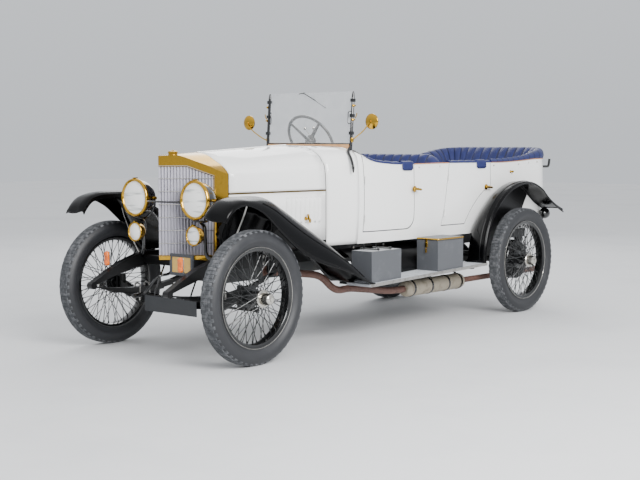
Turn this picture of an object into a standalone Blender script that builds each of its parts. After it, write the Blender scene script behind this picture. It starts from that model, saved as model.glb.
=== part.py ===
"""A 1920s touring car: open four-door body on a ladder frame, wire wheels, V radiator.

Metres, +Z up. The car faces -Y, its left side is +X, and the origin is on the ground
under the middle of its length. Distances along the car are measured behind the front
axle and turned into Y by behind().
"""
import math

import bmesh
import bpy
from mathutils import Matrix, Vector

# Overall sizes of the car
WHEELBASE = 3.367
FRONT_OVERHANG = 0.480
REAR_OVERHANG = 0.773
TRACK = 1.420
FIT = 0.0003
OVERRUN = 0.050

LENGTH = FRONT_OVERHANG + WHEELBASE + REAR_OVERHANG
FRONT_AXLE_Y = FRONT_OVERHANG - LENGTH / 2
REAR_AXLE = WHEELBASE
TAIL = WHEELBASE + REAR_OVERHANG
SIDES = (1, -1)
SIDE_NAMES = {1: "left", -1: "right"}

# Wheels and tyres: radii from the hub axis, widths along it
TYRE_RADIUS = 0.4475
TYRE_WIDTH = 0.130
RIM_RADIUS = 0.335
RIM_WIDTH = 0.085
RIM_DEPTH = 0.031
RIM_BASE_DEPTH = 0.015
RIM_LIP = 0.004
WHEEL_SEGMENTS = 24
SPOKES_A_ROW = 12
SPOKE_RADIUS = 0.0040
SPOKE_LEAN = math.radians(38)
SPOKE_SPREAD = 0.012
SPOKE_PHASE = math.radians(4)
HUB_RADIUS = 0.043
HUB_FLANGE_RADIUS = 0.078
HUB_NOSE_RADIUS = 0.060
HUB_INNER = 0.055
HUB_FACE_FRONT = 0.166
HUB_FACE_REAR = 0.144
HUB_SEGMENTS = 12
STUB_RADIUS = 0.019
STUB_PLAY = 0.001
DRUM_RADIUS = 0.165
DRUM_DEPTH = 0.055
DRUM_WALL = 0.010
AXLE_Z = TYRE_RADIUS
HALF_FACET = math.pi / WHEEL_SEGMENTS

# Frame: two side rails with curved front ends, cross members and board brackets
RAIL_X = 0.380
RAIL_WIDTH = 0.050
RAIL_TOP = 0.690
RAIL_DEPTH = 0.090
EYE_Z = 0.485
EYE_RADIUS = 0.025
HORN_LENGTH = 0.500
HORN_TIP_DEPTH = 0.045
RAIL_TAIL = 0.200
CROSS_WIDTH = 0.060
CROSS_DEPTH = 0.060
CROSS_FRONT = 0.030
CROSS_GEARBOX = 1.250
CROSS_MIDDLE = 2.780
CROSS_REAR = 3.860
BRACKET_PLACES = (1.300, 1.950, 2.560)
BRACKET_WIDTH = 0.040
BRACKET_DEPTH = 0.016

# Springs and axles
SPRING_WIDTH = 0.048
SPRING_LEAF = 0.009
SPRING_LEAVES = 5
FRONT_SPRING_REAR = 0.560
FRONT_SPRING_SEAT_Z = 0.395
REAR_SPRING_FRONT = 0.600
REAR_SPRING_REAR = 0.520
SHACKLE_DROP = 0.050
BEAM_WIDTH = 0.045
BEAM_DEPTH = 0.060
BEAM_Z = 0.365
KINGPIN_OFFSET = 0.120
KINGPIN_X = TRACK / 2 - KINGPIN_OFFSET
KINGPIN_RADIUS = 0.024
KINGPIN_HEIGHT = 0.100
KNUCKLE_LUG = 0.020
KNUCKLE_PLATE = 0.018
STEER_ARM_LENGTH = 0.165
STEER_ARM_DROP = 0.105
STEER_ARM_WIDTH = 0.026
STEER_ARM_THICKNESS = 0.016
TIE_ROD_RADIUS = 0.012
AXLE_TUBE_RADIUS = 0.038
DIFFERENTIAL_RADIUS = 0.150
DIFFERENTIAL_WIDTH = 0.150
TORQUE_TUBE_RADIUS = 0.035

# Engine and gearbox as one plain block
ENGINE_FRONT = 0.250
ENGINE_LENGTH = 1.250
ENGINE_WIDTH = 0.400
ENGINE_BOTTOM = 0.480
ENGINE_TOP = 1.150

# Radiator: V front, brass shell round a finned core
RADIATOR_RIDGE = -0.180
RADIATOR_REAR = 0.181
RADIATOR_BOTTOM = 0.665
CORE_BOTTOM = 0.690
CORE_TOP = 1.306
CORE_SHOULDER_Z = 1.238
CORE_SHOULDER_X = 0.145
CORE_HALF = 0.280
CORE_CORNER = 0.090
CORE_DEPTH = 0.050
FINS_A_SIDE = 12
FIN_DEPTH = 0.010
SHELL_HALF = 0.308
SHELL_RIDGE_TOP = 1.372
FILLER_RADIUS = 0.030
FILLER_HEIGHT = 0.035

# Body width between the rear tyres, and the share of it at the bonnet's rear
BODY_CLEARANCE = 0.055
BODY_HALF = TRACK / 2 - TYRE_WIDTH / 2 - BODY_CLEARANCE
COWL_SHARE = 0.695

# Bonnet: two top panels hinged on the centre line, two hanging side panels
BONNET_REAR = 1.100
BONNET_SHEET = 0.004
BONNET_HINGE_Z = 1.110
BONNET_BOTTOM = 0.745
BONNET_FRONT_HALF = SHELL_HALF
BONNET_REAR_HALF = BODY_HALF * COWL_SHARE
BONNET_FRONT_CROWN = 1.393
BONNET_REAR_CROWN = 1.440
BONNET_GAP = 0.006
HINGE_ROD_RADIUS = 0.005
LOUVRES = 8
LOUVRE_HEIGHT = 0.200
LOUVRE_PITCH = 0.045
LOUVRE_REAR = 0.0675
LOUVRE_WIDTH = 0.014
LOUVRE_DEPTH = 0.009

# Scuttle and body tub
COCKPIT_FRONT = 1.385
BODY_BOTTOM = 0.700
BODY_TOP = 1.290
BODY_WALL = 0.035
BODY_BELLY = 0.018
TAIL_CORNER = 0.300
SCUTTLE_CROWN = 1.448
SCUTTLE_WALL = 0.022
DASH_HEIGHT = 0.190
FLOOR_THICKNESS = 0.030

# Doors, hinged at their front edges
DOOR_GAP = 0.006
DOOR_BOTTOM = 0.790
DOOR_CORNER = 0.090
FRONT_DOOR_FRONT = 1.432
FRONT_DOOR_REAR = 2.000
REAR_DOOR_FRONT = 2.385
REAR_DOOR_REAR = 3.050
REAR_DOOR_SLANT = 0.100
DOOR_WING_GAP = 0.024
SILL_SHARE = 1.5
DOOR_BEVEL_SHARE = 0.25
HINGE_RADIUS = 0.007
HINGE_LENGTH = 0.030
HINGE_LEAF = 0.014
HINGE_INSET = 0.012

# Leather: padded rolls on the wall tops, and the two seats
ROLL_WIDTH = 0.080
ROLL_HEIGHT = 0.078
ROLL_TIP = 0.180
REAR_ROLL_RISE = 0.045
SEAT_CLEAR = 0.030
CUSHION_TOP = 1.020
CUSHION_BOTTOM = 0.800
FRONT_SEAT_FRONT = 1.950
FRONT_SEAT_BACK = 2.395
FRONT_BACK_THICKNESS = 0.110
REAR_SEAT_FRONT = 3.330
REAR_SEAT_BACK = 3.840
SEAT_RAKE = 0.050

# Windscreen, its board and the mirrors
SCREEN_Y = 1.376
SCREEN_SHARE = 0.717
SCREEN_HALF = BODY_HALF * SCREEN_SHARE
SCREEN_SILL = 1.500
SCREEN_HEIGHT = 0.346
SCREEN_TOP = SCREEN_SILL + SCREEN_HEIGHT
SCREEN_RAKE = 0.026
POST_RADIUS = 0.011
SCREEN_GLASS = 0.006
SCREEN_BOARD = 0.020
STAY_FOOT = 1.290
STAY_FOOT_Z = 1.235
MIRROR_REACH = 0.200
MIRROR_X = SCREEN_HALF + MIRROR_REACH
MIRROR_Z = 1.615
MIRROR_RADIUS = 0.058
MIRROR_THICKNESS = 0.024
MIRROR_ARM = 0.006

# Steering wheel and column, on the right-hand side
STEERING_X = -0.220
STEERING_HUB = 1.660
STEERING_Z = 1.478
STEERING_SLOPE = math.radians(30)
STEERING_RADIUS = 0.215
STEERING_RIM = 0.013
STEERING_SPOKE = 0.008
COLUMN_RADIUS = 0.020
COLUMN_LENGTH = 0.900
COLUMN_PLAY = 0.002

# Front wings: crown and outer lip, both from share tables below
FENDER_SHEET = 0.003
FRONT_FENDER_FRONT = -0.330
FRONT_FENDER_REAR = 1.190
FRONT_FENDER_TOP = 1.112
FENDER_GAP = 0.010
FENDER_FLAT = 0.080
FENDER_REACH = 0.090
FENDER_INNER = BODY_HALF + FENDER_GAP
FENDER_CROWN = FENDER_INNER + FENDER_FLAT
FENDER_OUTER = TRACK / 2 + FENDER_REACH
FENDER_FRONT_LIP = 0.045
APRON_START = 0.330
APRON_FOOT_X = 0.425
REAR_FENDER_RADIUS = 0.610
REAR_FENDER_CENTRE = 3.260
REAR_FENDER_CENTRE_Z = 0.500
REAR_FENDER_TAIL = 3.930
REAR_FENDER_TAIL_Z = 0.872
REAR_FENDER_SKIRT = 0.045

# Running boards and the two boxes on the left one
BOARD_FRONT = 1.150
BOARD_REAR = 2.700
BOARD_TUCK = 0.030
BOARD_EDGE = 0.005
BOARD_INNER = BODY_HALF - BOARD_TUCK
BOARD_OUTER = FENDER_OUTER - BOARD_EDGE
BOARD_FRONT_Z = 0.435
BOARD_REAR_Z = 0.475
BOARD_THICKNESS = 0.022
VALANCE_SHEET = 0.005
BATTERY_FRONT = 1.200
BATTERY_REAR = 1.560
BOX_INSET = 0.010
BATTERY_INSET = 0.035
BATTERY_INNER = BOARD_INNER + BOX_INSET
BATTERY_OUTER = BOARD_OUTER - BATTERY_INSET
BATTERY_TOP = 0.672
BATTERY_ROD = 0.008
TOOL_FRONT = 2.020
TOOL_REAR = 2.370
TOOL_INSET = 0.020
TOOL_INNER = BOARD_INNER + BOX_INSET
TOOL_OUTER = BOARD_OUTER - TOOL_INSET
TOOL_TOP = 0.697
TOOL_WALL = 0.006
TOOL_LID = 0.022

# Lamps and their bracket
LAMP_X = 0.299
LAMP_LENS = -0.137
LAMP_Z = 1.079
LAMP_RADIUS = 0.135
LAMP_DEPTH = 0.165
SIDE_LAMP_X = 0.292
SIDE_LAMP_LENS = -0.142
SIDE_LAMP_Z = 0.841
SIDE_LAMP_RADIUS = 0.070
SIDE_LAMP_DEPTH = 0.085
LAMP_SEGMENTS = 16
LAMP_POST = 0.014
LAMP_TIE_Z = 1.030

# Exhaust and starting handle
EXHAUST_RADIUS = 0.026
SILENCER_RADIUS = 0.065
SILENCER_X = 0.470
SILENCER_Z = 0.300
SILENCER_FRONT = 1.980
SILENCER_REAR = 2.780
HANDLE_RADIUS = 0.011
HANDLE_Z = 0.560
HANDLE_FRONT = -0.190
HANDLE_ARM = 0.200
HANDLE_GRIP = 0.110


# Scene and naming helpers
for old in list(bpy.data.objects):
    bpy.data.objects.remove(old, do_unlink=True)

PARTS = bpy.data.collections.new("touring_car")
GUIDES = bpy.data.collections.new("cutters")
for group in (PARTS, GUIDES):
    bpy.context.scene.collection.children.link(group)


def behind(distance):
    """Y of a place given by its distance behind the front axle."""
    return FRONT_AXLE_Y + distance


def paint(name, colour, roughness, metallic):
    """One material with a Principled shader."""
    shade = bpy.data.materials.new(name)
    shade.use_nodes = True
    shader = shade.node_tree.nodes["Principled BSDF"]
    shader.inputs["Base Color"].default_value = (*colour, 1.0)
    shader.inputs["Roughness"].default_value = roughness
    shader.inputs["Metallic"].default_value = metallic
    return shade


WHITE_PAINT = paint("white_paint", (0.80, 0.81, 0.82), 0.25, 0.0)
BLACK_PAINT = paint("black_paint", (0.012, 0.013, 0.016), 0.30, 0.0)
BRASS = paint("brass", (0.75, 0.52, 0.15), 0.22, 1.0)
RUBBER = paint("rubber", (0.035, 0.035, 0.038), 0.80, 0.0)
BLUE_LEATHER = paint("blue_leather", (0.010, 0.035, 0.25), 0.45, 0.0)
GREY_STEEL = paint("grey_steel", (0.28, 0.28, 0.29), 0.45, 0.9)
CORE_METAL = paint("core_metal", (0.45, 0.44, 0.46), 0.45, 0.8)
DARK_BOX = paint("dark_box", (0.045, 0.045, 0.043), 0.60, 0.0)
BOARD_GREY = paint("board_grey", (0.32, 0.33, 0.34), 0.60, 0.0)
TAN_WOOD = paint("tan_wood", (0.48, 0.28, 0.11), 0.45, 0.0)
GLASS = paint("glass", (0.80, 0.85, 0.86), 0.05, 0.0)
EXHAUST_STEEL = paint("exhaust_steel", (0.36, 0.29, 0.22), 0.60, 0.7)


def mesh_object(name, shape):
    """A guide object from a bmesh, its faces pointing out."""
    bmesh.ops.remove_doubles(shape, verts=shape.verts, dist=1e-6)
    bmesh.ops.recalc_face_normals(shape, faces=shape.faces)
    mesh = bpy.data.meshes.new(name)
    shape.to_mesh(mesh)
    shape.free()
    piece = bpy.data.objects.new(name, mesh)
    GUIDES.objects.link(piece)
    return piece


def settled(piece):
    """The evaluated shape of an object as a plain mesh object in world space."""
    bpy.context.view_layer.update()
    depsgraph = bpy.context.evaluated_depsgraph_get()
    mesh = bpy.data.meshes.new_from_object(piece.evaluated_get(depsgraph))
    mesh.transform(piece.matrix_world)
    name = piece.name
    bpy.data.objects.remove(piece, do_unlink=True)
    shape = bmesh.new()
    shape.from_mesh(mesh)
    bpy.data.meshes.remove(mesh)
    return mesh_object(name, shape)


def box(name, xs, ys, zs):
    """A block between two x, two y (behind the front axle) and two z values."""
    shape = bmesh.new()
    bmesh.ops.create_cube(shape, size=1.0)
    lows = Vector((min(xs), behind(min(ys)), min(zs)))
    highs = Vector((max(xs), behind(max(ys)), max(zs)))
    shape.transform(Matrix.Diagonal((*(highs - lows), 1.0)))
    shape.transform(Matrix.Translation((lows + highs) / 2))
    return mesh_object(name, shape)


# Columns of each: world directions of an outline's first, second and extruded axis
PLANES = {
    "side": Matrix(((0, 0, 1), (1, 0, 0), (0, 1, 0))),
    "front": Matrix(((1, 0, 0), (0, 0, -1), (0, 1, 0))),
    "plan": Matrix.Identity(3),
}


def prism(name, plane, outline, low, high):
    """A flat outline made thick: side is (y, z) along X, front (x, z) along Y, plan (x, y)."""
    curve = bpy.data.curves.new(name, "CURVE")
    curve.dimensions = "2D"
    curve.fill_mode = "BOTH"
    curve.extrude = abs(high - low) / 2
    line = curve.splines.new("POLY")
    line.points.add(len(outline) - 1)
    for point, (first, second) in zip(line.points, outline):
        if plane == "side":
            first = behind(first)
        if plane == "plan":
            second = behind(second)
        point.co = (first, second, 0.0, 1.0)
    line.use_cyclic_u = True
    middle = (low + high) / 2
    if plane == "front":
        middle = -behind(middle)
    piece = bpy.data.objects.new(name, curve)
    GUIDES.objects.link(piece)
    turn = PLANES[plane].to_4x4()
    piece.matrix_world = turn @ Matrix.Translation((0.0, 0.0, middle))
    return settled(piece)


def rod(name, points, radius, detail=2):
    """A round bar through (x, distance behind the front axle, z) points."""
    curve = bpy.data.curves.new(name, "CURVE")
    curve.dimensions = "3D"
    curve.bevel_depth = radius
    curve.bevel_resolution = detail
    curve.use_fill_caps = True
    line = curve.splines.new("POLY")
    line.points.add(len(points) - 1)
    for point, (x, distance, z) in zip(line.points, points):
        point.co = (x, behind(distance), z, 1.0)
    piece = bpy.data.objects.new(name, curve)
    GUIDES.objects.link(piece)
    return settled(piece)


def turned(name, profile, centre, axis, segments, closed=False, phase=0.0):
    """A turned solid: profile of (radius, along) pairs swept round axis at centre."""
    mesh = bpy.data.meshes.new(name)
    corners = [(radius, 0.0, along) for radius, along in profile]
    edges = [(i, i + 1) for i in range(len(corners) - 1)]
    if closed:
        edges.append((len(corners) - 1, 0))
    mesh.from_pydata(corners, edges, [])
    piece = bpy.data.objects.new(name, mesh)
    GUIDES.objects.link(piece)
    screw = piece.modifiers.new("turn", "SCREW")
    screw.steps = segments
    screw.render_steps = segments
    screw.use_merge_vertices = True
    screw.merge_threshold = 0.00001
    x, distance, z = centre
    direction = Vector(axis)
    side = Vector((0, 0, -1)) if abs(direction.z) < 0.99 else Vector((1, 0, 0))
    side = (side - direction * side.dot(direction)).normalized()
    turn = Matrix((side, direction.cross(side), direction)).transposed().to_4x4()
    turn = turn @ Matrix.Rotation(phase, 4, "Z")
    piece.matrix_world = Matrix.Translation((x, behind(distance), z)) @ turn
    return settled(piece)


def loft(name, rings, loop=True, sheet=0.0, split=False):
    """A skin over rings of (x, distance, z) points: capped if loop, else a sheet."""
    shape = bmesh.new()
    rows = [[shape.verts.new((x, behind(y), z)) for x, y, z in ring] for ring in rings]
    count = len(rows[0])
    spans = count if loop else count - 1
    for row, following in zip(rows, rows[1:]):
        for i in range(spans):
            j = (i + 1) % count
            shape.faces.new((row[i], row[j], following[j], following[i]))
    if loop:
        shape.faces.new(list(reversed(rows[0])))
        shape.faces.new(rows[-1])
        if split:
            bmesh.ops.triangulate(shape, faces=shape.faces)
        return mesh_object(name, shape)
    piece = mesh_object(name, shape)
    thicken = piece.modifiers.new("sheet", "SOLIDIFY")
    thicken.thickness = sheet
    thicken.offset = 0.0
    return settled(piece)


def boolean(piece, operation, tools):
    """Adds, cuts or keeps tools on a piece and settles the result."""
    for tool in tools:
        step = piece.modifiers.new(operation.lower(), "BOOLEAN")
        step.operation = operation
        step.object = tool
        step.use_self = True
    result = settled(piece)
    for tool in tools:
        bpy.data.objects.remove(tool, do_unlink=True)
    return result


def union(piece, *tools):
    return boolean(piece, "UNION", tools)


def cut(piece, *tools):
    return boolean(piece, "DIFFERENCE", tools)


def common(piece, tool):
    return boolean(piece, "INTERSECT", [tool])


def copy_of(piece, name):
    twin = bpy.data.objects.new(name, piece.data.copy())
    GUIDES.objects.link(twin)
    return twin


def mirrored(piece, name):
    """The same piece on the other side of the car."""
    twin = copy_of(piece, name)
    twin.data.transform(Matrix.Diagonal((-1.0, 1.0, 1.0, 1.0)))
    twin.data.flip_normals()
    return twin


def finish(piece, name, shade, pivot=None):
    """Names a finished part, paints it and puts its origin on pivot."""
    GUIDES.objects.unlink(piece)
    PARTS.objects.link(piece)
    piece.name = name
    piece.data.name = name
    piece.data.materials.clear()
    piece.data.materials.append(shade)
    piece.data.shade_smooth()
    piece.data.set_sharp_from_angle(angle=math.radians(35))
    if pivot:
        x, distance, z = pivot
        place = Vector((x, behind(distance), z))
        piece.data.transform(Matrix.Translation(-place))
        piece.location = place
    return piece


def pair(piece, name, shade, pivot=None):
    """Finishes a left piece and its mirror image."""
    twin = mirrored(piece, name + "_right")
    finish(piece, name + "_left", shade, pivot)
    if pivot:
        x, distance, z = pivot
        pivot = (-x, distance, z)
    finish(twin, name + "_right", shade, pivot)


def between(table, value):
    """Straight-line value of a table of (place, value) rows."""
    for (low, first), (high, second) in zip(table, table[1:]):
        if value <= high:
            share = (value - low) / (high - low)
            return first + (second - first) * max(share, 0.0)
    return table[-1][1]


# Wheels: rim, hub and two rows of leaning spokes in one piece, with a separate tyre
def spoke_set(name, hub_radius, hub_along, rim_along, lean, turn):
    """One row of square spokes from a hub flange to the rim, all leaning one way."""
    reach = RIM_RADIUS - RIM_DEPTH + RIM_BASE_DEPTH / 2
    shape = bmesh.new()
    for number in range(SPOKES_A_ROW):
        angle = turn + number * math.tau / SPOKES_A_ROW
        away = angle + lean
        foot = Vector((hub_along, hub_radius * math.cos(away), hub_radius * math.sin(away)))
        head = Vector((rim_along, reach * math.cos(angle), reach * math.sin(angle)))
        run = head - foot
        aim = run.to_track_quat("Z", "X").to_matrix().to_4x4()
        bmesh.ops.create_cone(shape, cap_ends=True, segments=3, radius1=SPOKE_RADIUS,
                              radius2=SPOKE_RADIUS, depth=run.length,
                              matrix=Matrix.Translation((head + foot) / 2) @ aim)
    return mesh_object(name, shape)


def rim_profile():
    """Ring section of the rim as (radius, along) pairs."""
    half = RIM_WIDTH / 2
    lip = half - RIM_LIP
    base = RIM_RADIUS - RIM_BASE_DEPTH
    inner = RIM_RADIUS - RIM_DEPTH
    return [(RIM_RADIUS, -half), (RIM_RADIUS, -lip), (base, -lip), (base, lip),
            (RIM_RADIUS, lip), (RIM_RADIUS, half), (inner, lip), (inner, -lip)]


def tyre_profile():
    """Ring section of the tyre, its beads between the rim's lips; its flats touch the ground."""
    outer = TYRE_RADIUS / math.cos(HALF_FACET)
    bead = RIM_WIDTH / 2 - RIM_LIP - FIT
    seat = RIM_RADIUS - RIM_BASE_DEPTH + FIT
    neck = RIM_RADIUS + 2 * RIM_LIP
    half = TYRE_WIDTH / 2
    rise_shares = (0.42, 0.86, 1.0)
    width_shares = (1.0, 0.86, 0.40)
    side = [(neck + (outer - neck) * rise, half * width)
            for rise, width in zip(rise_shares, width_shares)]
    right = [(seat, bead), (neck, bead)] + side
    return right + [(r, -a) for r, a in reversed(right)]


def hub_profile(face, drum):
    """Turned hub with a blind bore from its inner end and a nose at its outer face."""
    bore = STUB_RADIUS + STUB_PLAY
    bore_end = face / 2
    flange = HUB_INNER / 2
    nose = face / 2
    start = [(0.0, bore_end), (bore, bore_end)]
    if drum:
        start += [(bore, -HUB_INNER + DRUM_WALL), (DRUM_RADIUS - DRUM_WALL, -HUB_INNER + DRUM_WALL),
                  (DRUM_RADIUS - DRUM_WALL, -HUB_INNER - DRUM_DEPTH + DRUM_WALL),
                  (DRUM_RADIUS, -HUB_INNER - DRUM_DEPTH + DRUM_WALL),
                  (DRUM_RADIUS, -flange - DRUM_WALL), (HUB_FLANGE_RADIUS, -flange)]
    else:
        start += [(bore, -HUB_INNER), (HUB_RADIUS, -HUB_INNER),
                  (HUB_RADIUS, -flange - DRUM_WALL), (HUB_FLANGE_RADIUS, -flange - DRUM_WALL / 2),
                  (HUB_FLANGE_RADIUS, -flange)]
    return start + [(HUB_RADIUS, -flange + DRUM_WALL / 2), (HUB_RADIUS, nose - DRUM_WALL),
                    (HUB_NOSE_RADIUS, nose - DRUM_WALL / 2), (HUB_NOSE_RADIUS, nose + DRUM_WALL),
                    (HUB_RADIUS, nose + DRUM_WALL * 2), (HUB_RADIUS * 0.85, face - DRUM_WALL),
                    (HUB_RADIUS * 0.6, face), (0.0, face)]


def wheel(name, distance, face, drum):
    """A pair of wheels and tyres, built on the left at the car's centre line first."""
    outward = (1, 0, 0)
    centre = (0.0, distance, AXLE_Z)
    rim = turned("rim", rim_profile(), centre, outward, WHEEL_SEGMENTS, closed=True,
                 phase=HALF_FACET)
    hub = turned("hub", hub_profile(face, drum), centre, outward, HUB_SEGMENTS)
    inner = spoke_set("inner_spokes", HUB_FLANGE_RADIUS - SPOKE_RADIUS, -HUB_INNER / 2 - SPOKE_RADIUS / 2,
                      -SPOKE_SPREAD, SPOKE_LEAN, SPOKE_PHASE)
    outer = spoke_set("outer_spokes", HUB_NOSE_RADIUS - SPOKE_RADIUS, face / 2,
                      SPOKE_SPREAD, -SPOKE_LEAN, SPOKE_PHASE + math.pi / SPOKES_A_ROW)
    for row in (inner, outer):
        row.data.transform(Matrix.Translation((0.0, behind(distance), AXLE_Z)))
    built = union(rim, hub, inner, outer)
    tyre = turned("tyre", tyre_profile(), centre, outward, WHEEL_SEGMENTS, closed=True,
                  phase=HALF_FACET)
    for piece, kind, shade in ((built, "wheel_", BLACK_PAINT), (tyre, "tyre_", RUBBER)):
        piece.data.transform(Matrix.Translation((TRACK / 2, 0.0, 0.0)))
        pair(piece, kind + name, shade, (TRACK / 2, distance, AXLE_Z))


wheel("front", 0.0, HUB_FACE_FRONT, False)
wheel("rear", REAR_AXLE, HUB_FACE_REAR, True)


# Frame
RAIL_BOTTOM = RAIL_TOP - RAIL_DEPTH
RAIL_INNER = RAIL_X - RAIL_WIDTH / 2
RAIL_OUTER = RAIL_X + RAIL_WIDTH / 2
CROSS_BOTTOM = RADIATOR_BOTTOM - CROSS_DEPTH - FIT
EYE_PLACE = EYE_RADIUS - FRONT_OVERHANG
RAIL_END = TAIL - RAIL_TAIL
BOARD_SLOPE = (BOARD_REAR_Z - BOARD_FRONT_Z) / (BOARD_REAR - BOARD_FRONT)


def board_z(distance):
    """Height of the running board's top."""
    return BOARD_FRONT_Z + (distance - BOARD_FRONT) * BOARD_SLOPE


HORN_SHARES = ((0.0, 0.88), (0.22, 0.60), (0.50, 0.28), (0.78, 0.08), (1.0, 0.0))
HORN_TABLE = [(EYE_PLACE + along * HORN_LENGTH, RAIL_TOP - fall * (RAIL_TOP - EYE_Z))
              for along, fall in HORN_SHARES]


def rail_outline():
    """Side view of a rail: curved horn down to the spring eye, then straight."""
    top = list(HORN_TABLE)
    depth_shares = ((1.0, 1.0), (0.78, 1.0), (0.50, 0.85), (0.22, 0.55), (0.0, 0.28))
    bottom = []
    for along, thick in depth_shares:
        place = EYE_PLACE + along * HORN_LENGTH
        bottom.append((place, between(top, place) - thick * RAIL_DEPTH))
    return top + [(RAIL_END, RAIL_TOP), (RAIL_END, RAIL_BOTTOM)] + bottom


def bracket_outline(distance):
    """Front view of a running board bracket, from the rail down and out under the board."""
    under = board_z(distance - BRACKET_WIDTH / 2) - BOARD_THICKNESS - FIT
    foot = under - BRACKET_DEPTH
    inside = RAIL_OUTER - BRACKET_DEPTH
    return [(inside, RAIL_BOTTOM + BRACKET_DEPTH), (RAIL_OUTER, RAIL_BOTTOM + BRACKET_DEPTH),
            (RAIL_OUTER, under), (BOARD_OUTER - OVERRUN, under),
            (BOARD_OUTER - OVERRUN, foot), (inside, foot)]


def cross_member(name, place):
    """A bar between the rails' inner faces."""
    return box(name, (-RAIL_INNER + FIT, RAIL_INNER - FIT),
               (place - CROSS_WIDTH / 2, place + CROSS_WIDTH / 2),
               (CROSS_BOTTOM, CROSS_BOTTOM + CROSS_DEPTH))


def build_frame():
    """Left rail with its spring eye and board brackets, its mirror image, and the cross members."""
    rail = prism("rail", "side", rail_outline(), RAIL_INNER, RAIL_OUTER)
    eye = turned("eye", [(0.0, -RAIL_WIDTH / 2), (EYE_RADIUS, -RAIL_WIDTH / 2),
                         (EYE_RADIUS, RAIL_WIDTH / 2), (0.0, RAIL_WIDTH / 2)],
                 (RAIL_X, EYE_PLACE, EYE_Z), (1, 0, 0), HUB_SEGMENTS)
    brackets = []
    for place in BRACKET_PLACES:
        brackets.append(prism("bracket", "front", bracket_outline(place),
                              place - BRACKET_WIDTH / 2, place + BRACKET_WIDTH / 2))
    pair(union(rail, eye, *brackets), "rail", BLACK_PAINT)
    for name, place in (("front", CROSS_FRONT), ("middle", CROSS_MIDDLE), ("rear", CROSS_REAR)):
        finish(cross_member("cross", place), "cross_" + name, BLACK_PAINT)


build_frame()


# Springs and axles
def spring(front, rear, front_z, rear_z, seat, seat_z):
    """Side outline of a leaf pack: a bowed main leaf over shorter leaves in steps."""
    steps = SPRING_LEAVES
    top_z = seat_z + steps * SPRING_LEAF
    bow_shares = (0.0, 0.25, 0.5, 0.75)
    ends = ((front, front_z), (rear, rear_z))
    top = []
    for share in bow_shares:
        top.append((front + (seat - front) * share,
                    front_z + (top_z - front_z) * (1 - (1 - share) ** 2)))
    top.append((seat, top_z))
    for share in reversed(bow_shares):
        top.append((rear + (seat - rear) * share,
                    rear_z + (top_z - rear_z) * (1 - (1 - share) ** 2)))
    under = []
    for leaf in range(1, steps + 1):
        share = (leaf - 1) / (steps + 1)
        place = ends[1][0] + (seat - ends[1][0]) * share
        level = between(top, place)
        if leaf > 1:
            under.append((place, level - (leaf - 1) * SPRING_LEAF))
        under.append((place, level - leaf * SPRING_LEAF))
    under.append((seat, seat_z))
    for leaf in range(steps, 0, -1):
        share = (leaf - 1) / (steps + 1)
        place = ends[0][0] + (seat - ends[0][0]) * share
        level = between(top, place)
        under.append((place, level - leaf * SPRING_LEAF))
        if leaf > 1:
            under.append((place, level - (leaf - 1) * SPRING_LEAF))
    return top + under


def kingpin_boss(side):
    return turned("boss", [(0.0, -KINGPIN_HEIGHT / 2), (KINGPIN_RADIUS, -KINGPIN_HEIGHT / 2),
                           (KINGPIN_RADIUS, KINGPIN_HEIGHT / 2), (0.0, KINGPIN_HEIGHT / 2)],
                  (side * KINGPIN_X, 0.0, AXLE_Z), (0, 0, 1), HUB_SEGMENTS)


def build_front_axle():
    """Forged beam, dropped between the kingpins, with its two leaf springs."""
    low = BEAM_Z - BEAM_DEPTH / 2
    high = FRONT_SPRING_SEAT_Z
    pad = RAIL_X + SPRING_WIDTH
    end = KINGPIN_X
    half_boss = KINGPIN_HEIGHT / 4
    right = [(pad, low), (end, AXLE_Z - half_boss), (end, AXLE_Z + half_boss), (pad, high)]
    inner = RAIL_INNER - SPRING_WIDTH
    dip = BEAM_DEPTH / 3
    outline = right + [(inner, high), (0.0, high - dip), (-inner, high)]
    outline += [(-x, z) for x, z in reversed(right)]
    outline += [(-inner, low), (0.0, low - dip), (inner, low)]
    beam = prism("beam", "front", outline, -BEAM_WIDTH / 2, BEAM_WIDTH / 2)
    pieces = []
    for side in SIDES:
        pieces.append(kingpin_boss(side))
        leaf = spring(EYE_PLACE + EYE_RADIUS + FIT, FRONT_SPRING_REAR, EYE_Z - SPRING_LEAF,
                      RAIL_BOTTOM - SHACKLE_DROP, 0.0, FRONT_SPRING_SEAT_Z - FIT)
        pieces.append(prism("spring", "side", leaf, side * RAIL_X - SPRING_WIDTH / 2,
                            side * RAIL_X + SPRING_WIDTH / 2))
        shackle = box("shackle", (side * RAIL_X - SPRING_WIDTH / 2, side * RAIL_X + SPRING_WIDTH / 2),
                      (FRONT_SPRING_REAR - SHACKLE_DROP, FRONT_SPRING_REAR),
                      (RAIL_BOTTOM - SHACKLE_DROP - SPRING_LEAF / 2, RAIL_BOTTOM - FIT))
        pieces.append(shackle)
    finish(union(beam, *pieces), "front_axle", BLACK_PAINT)


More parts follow.
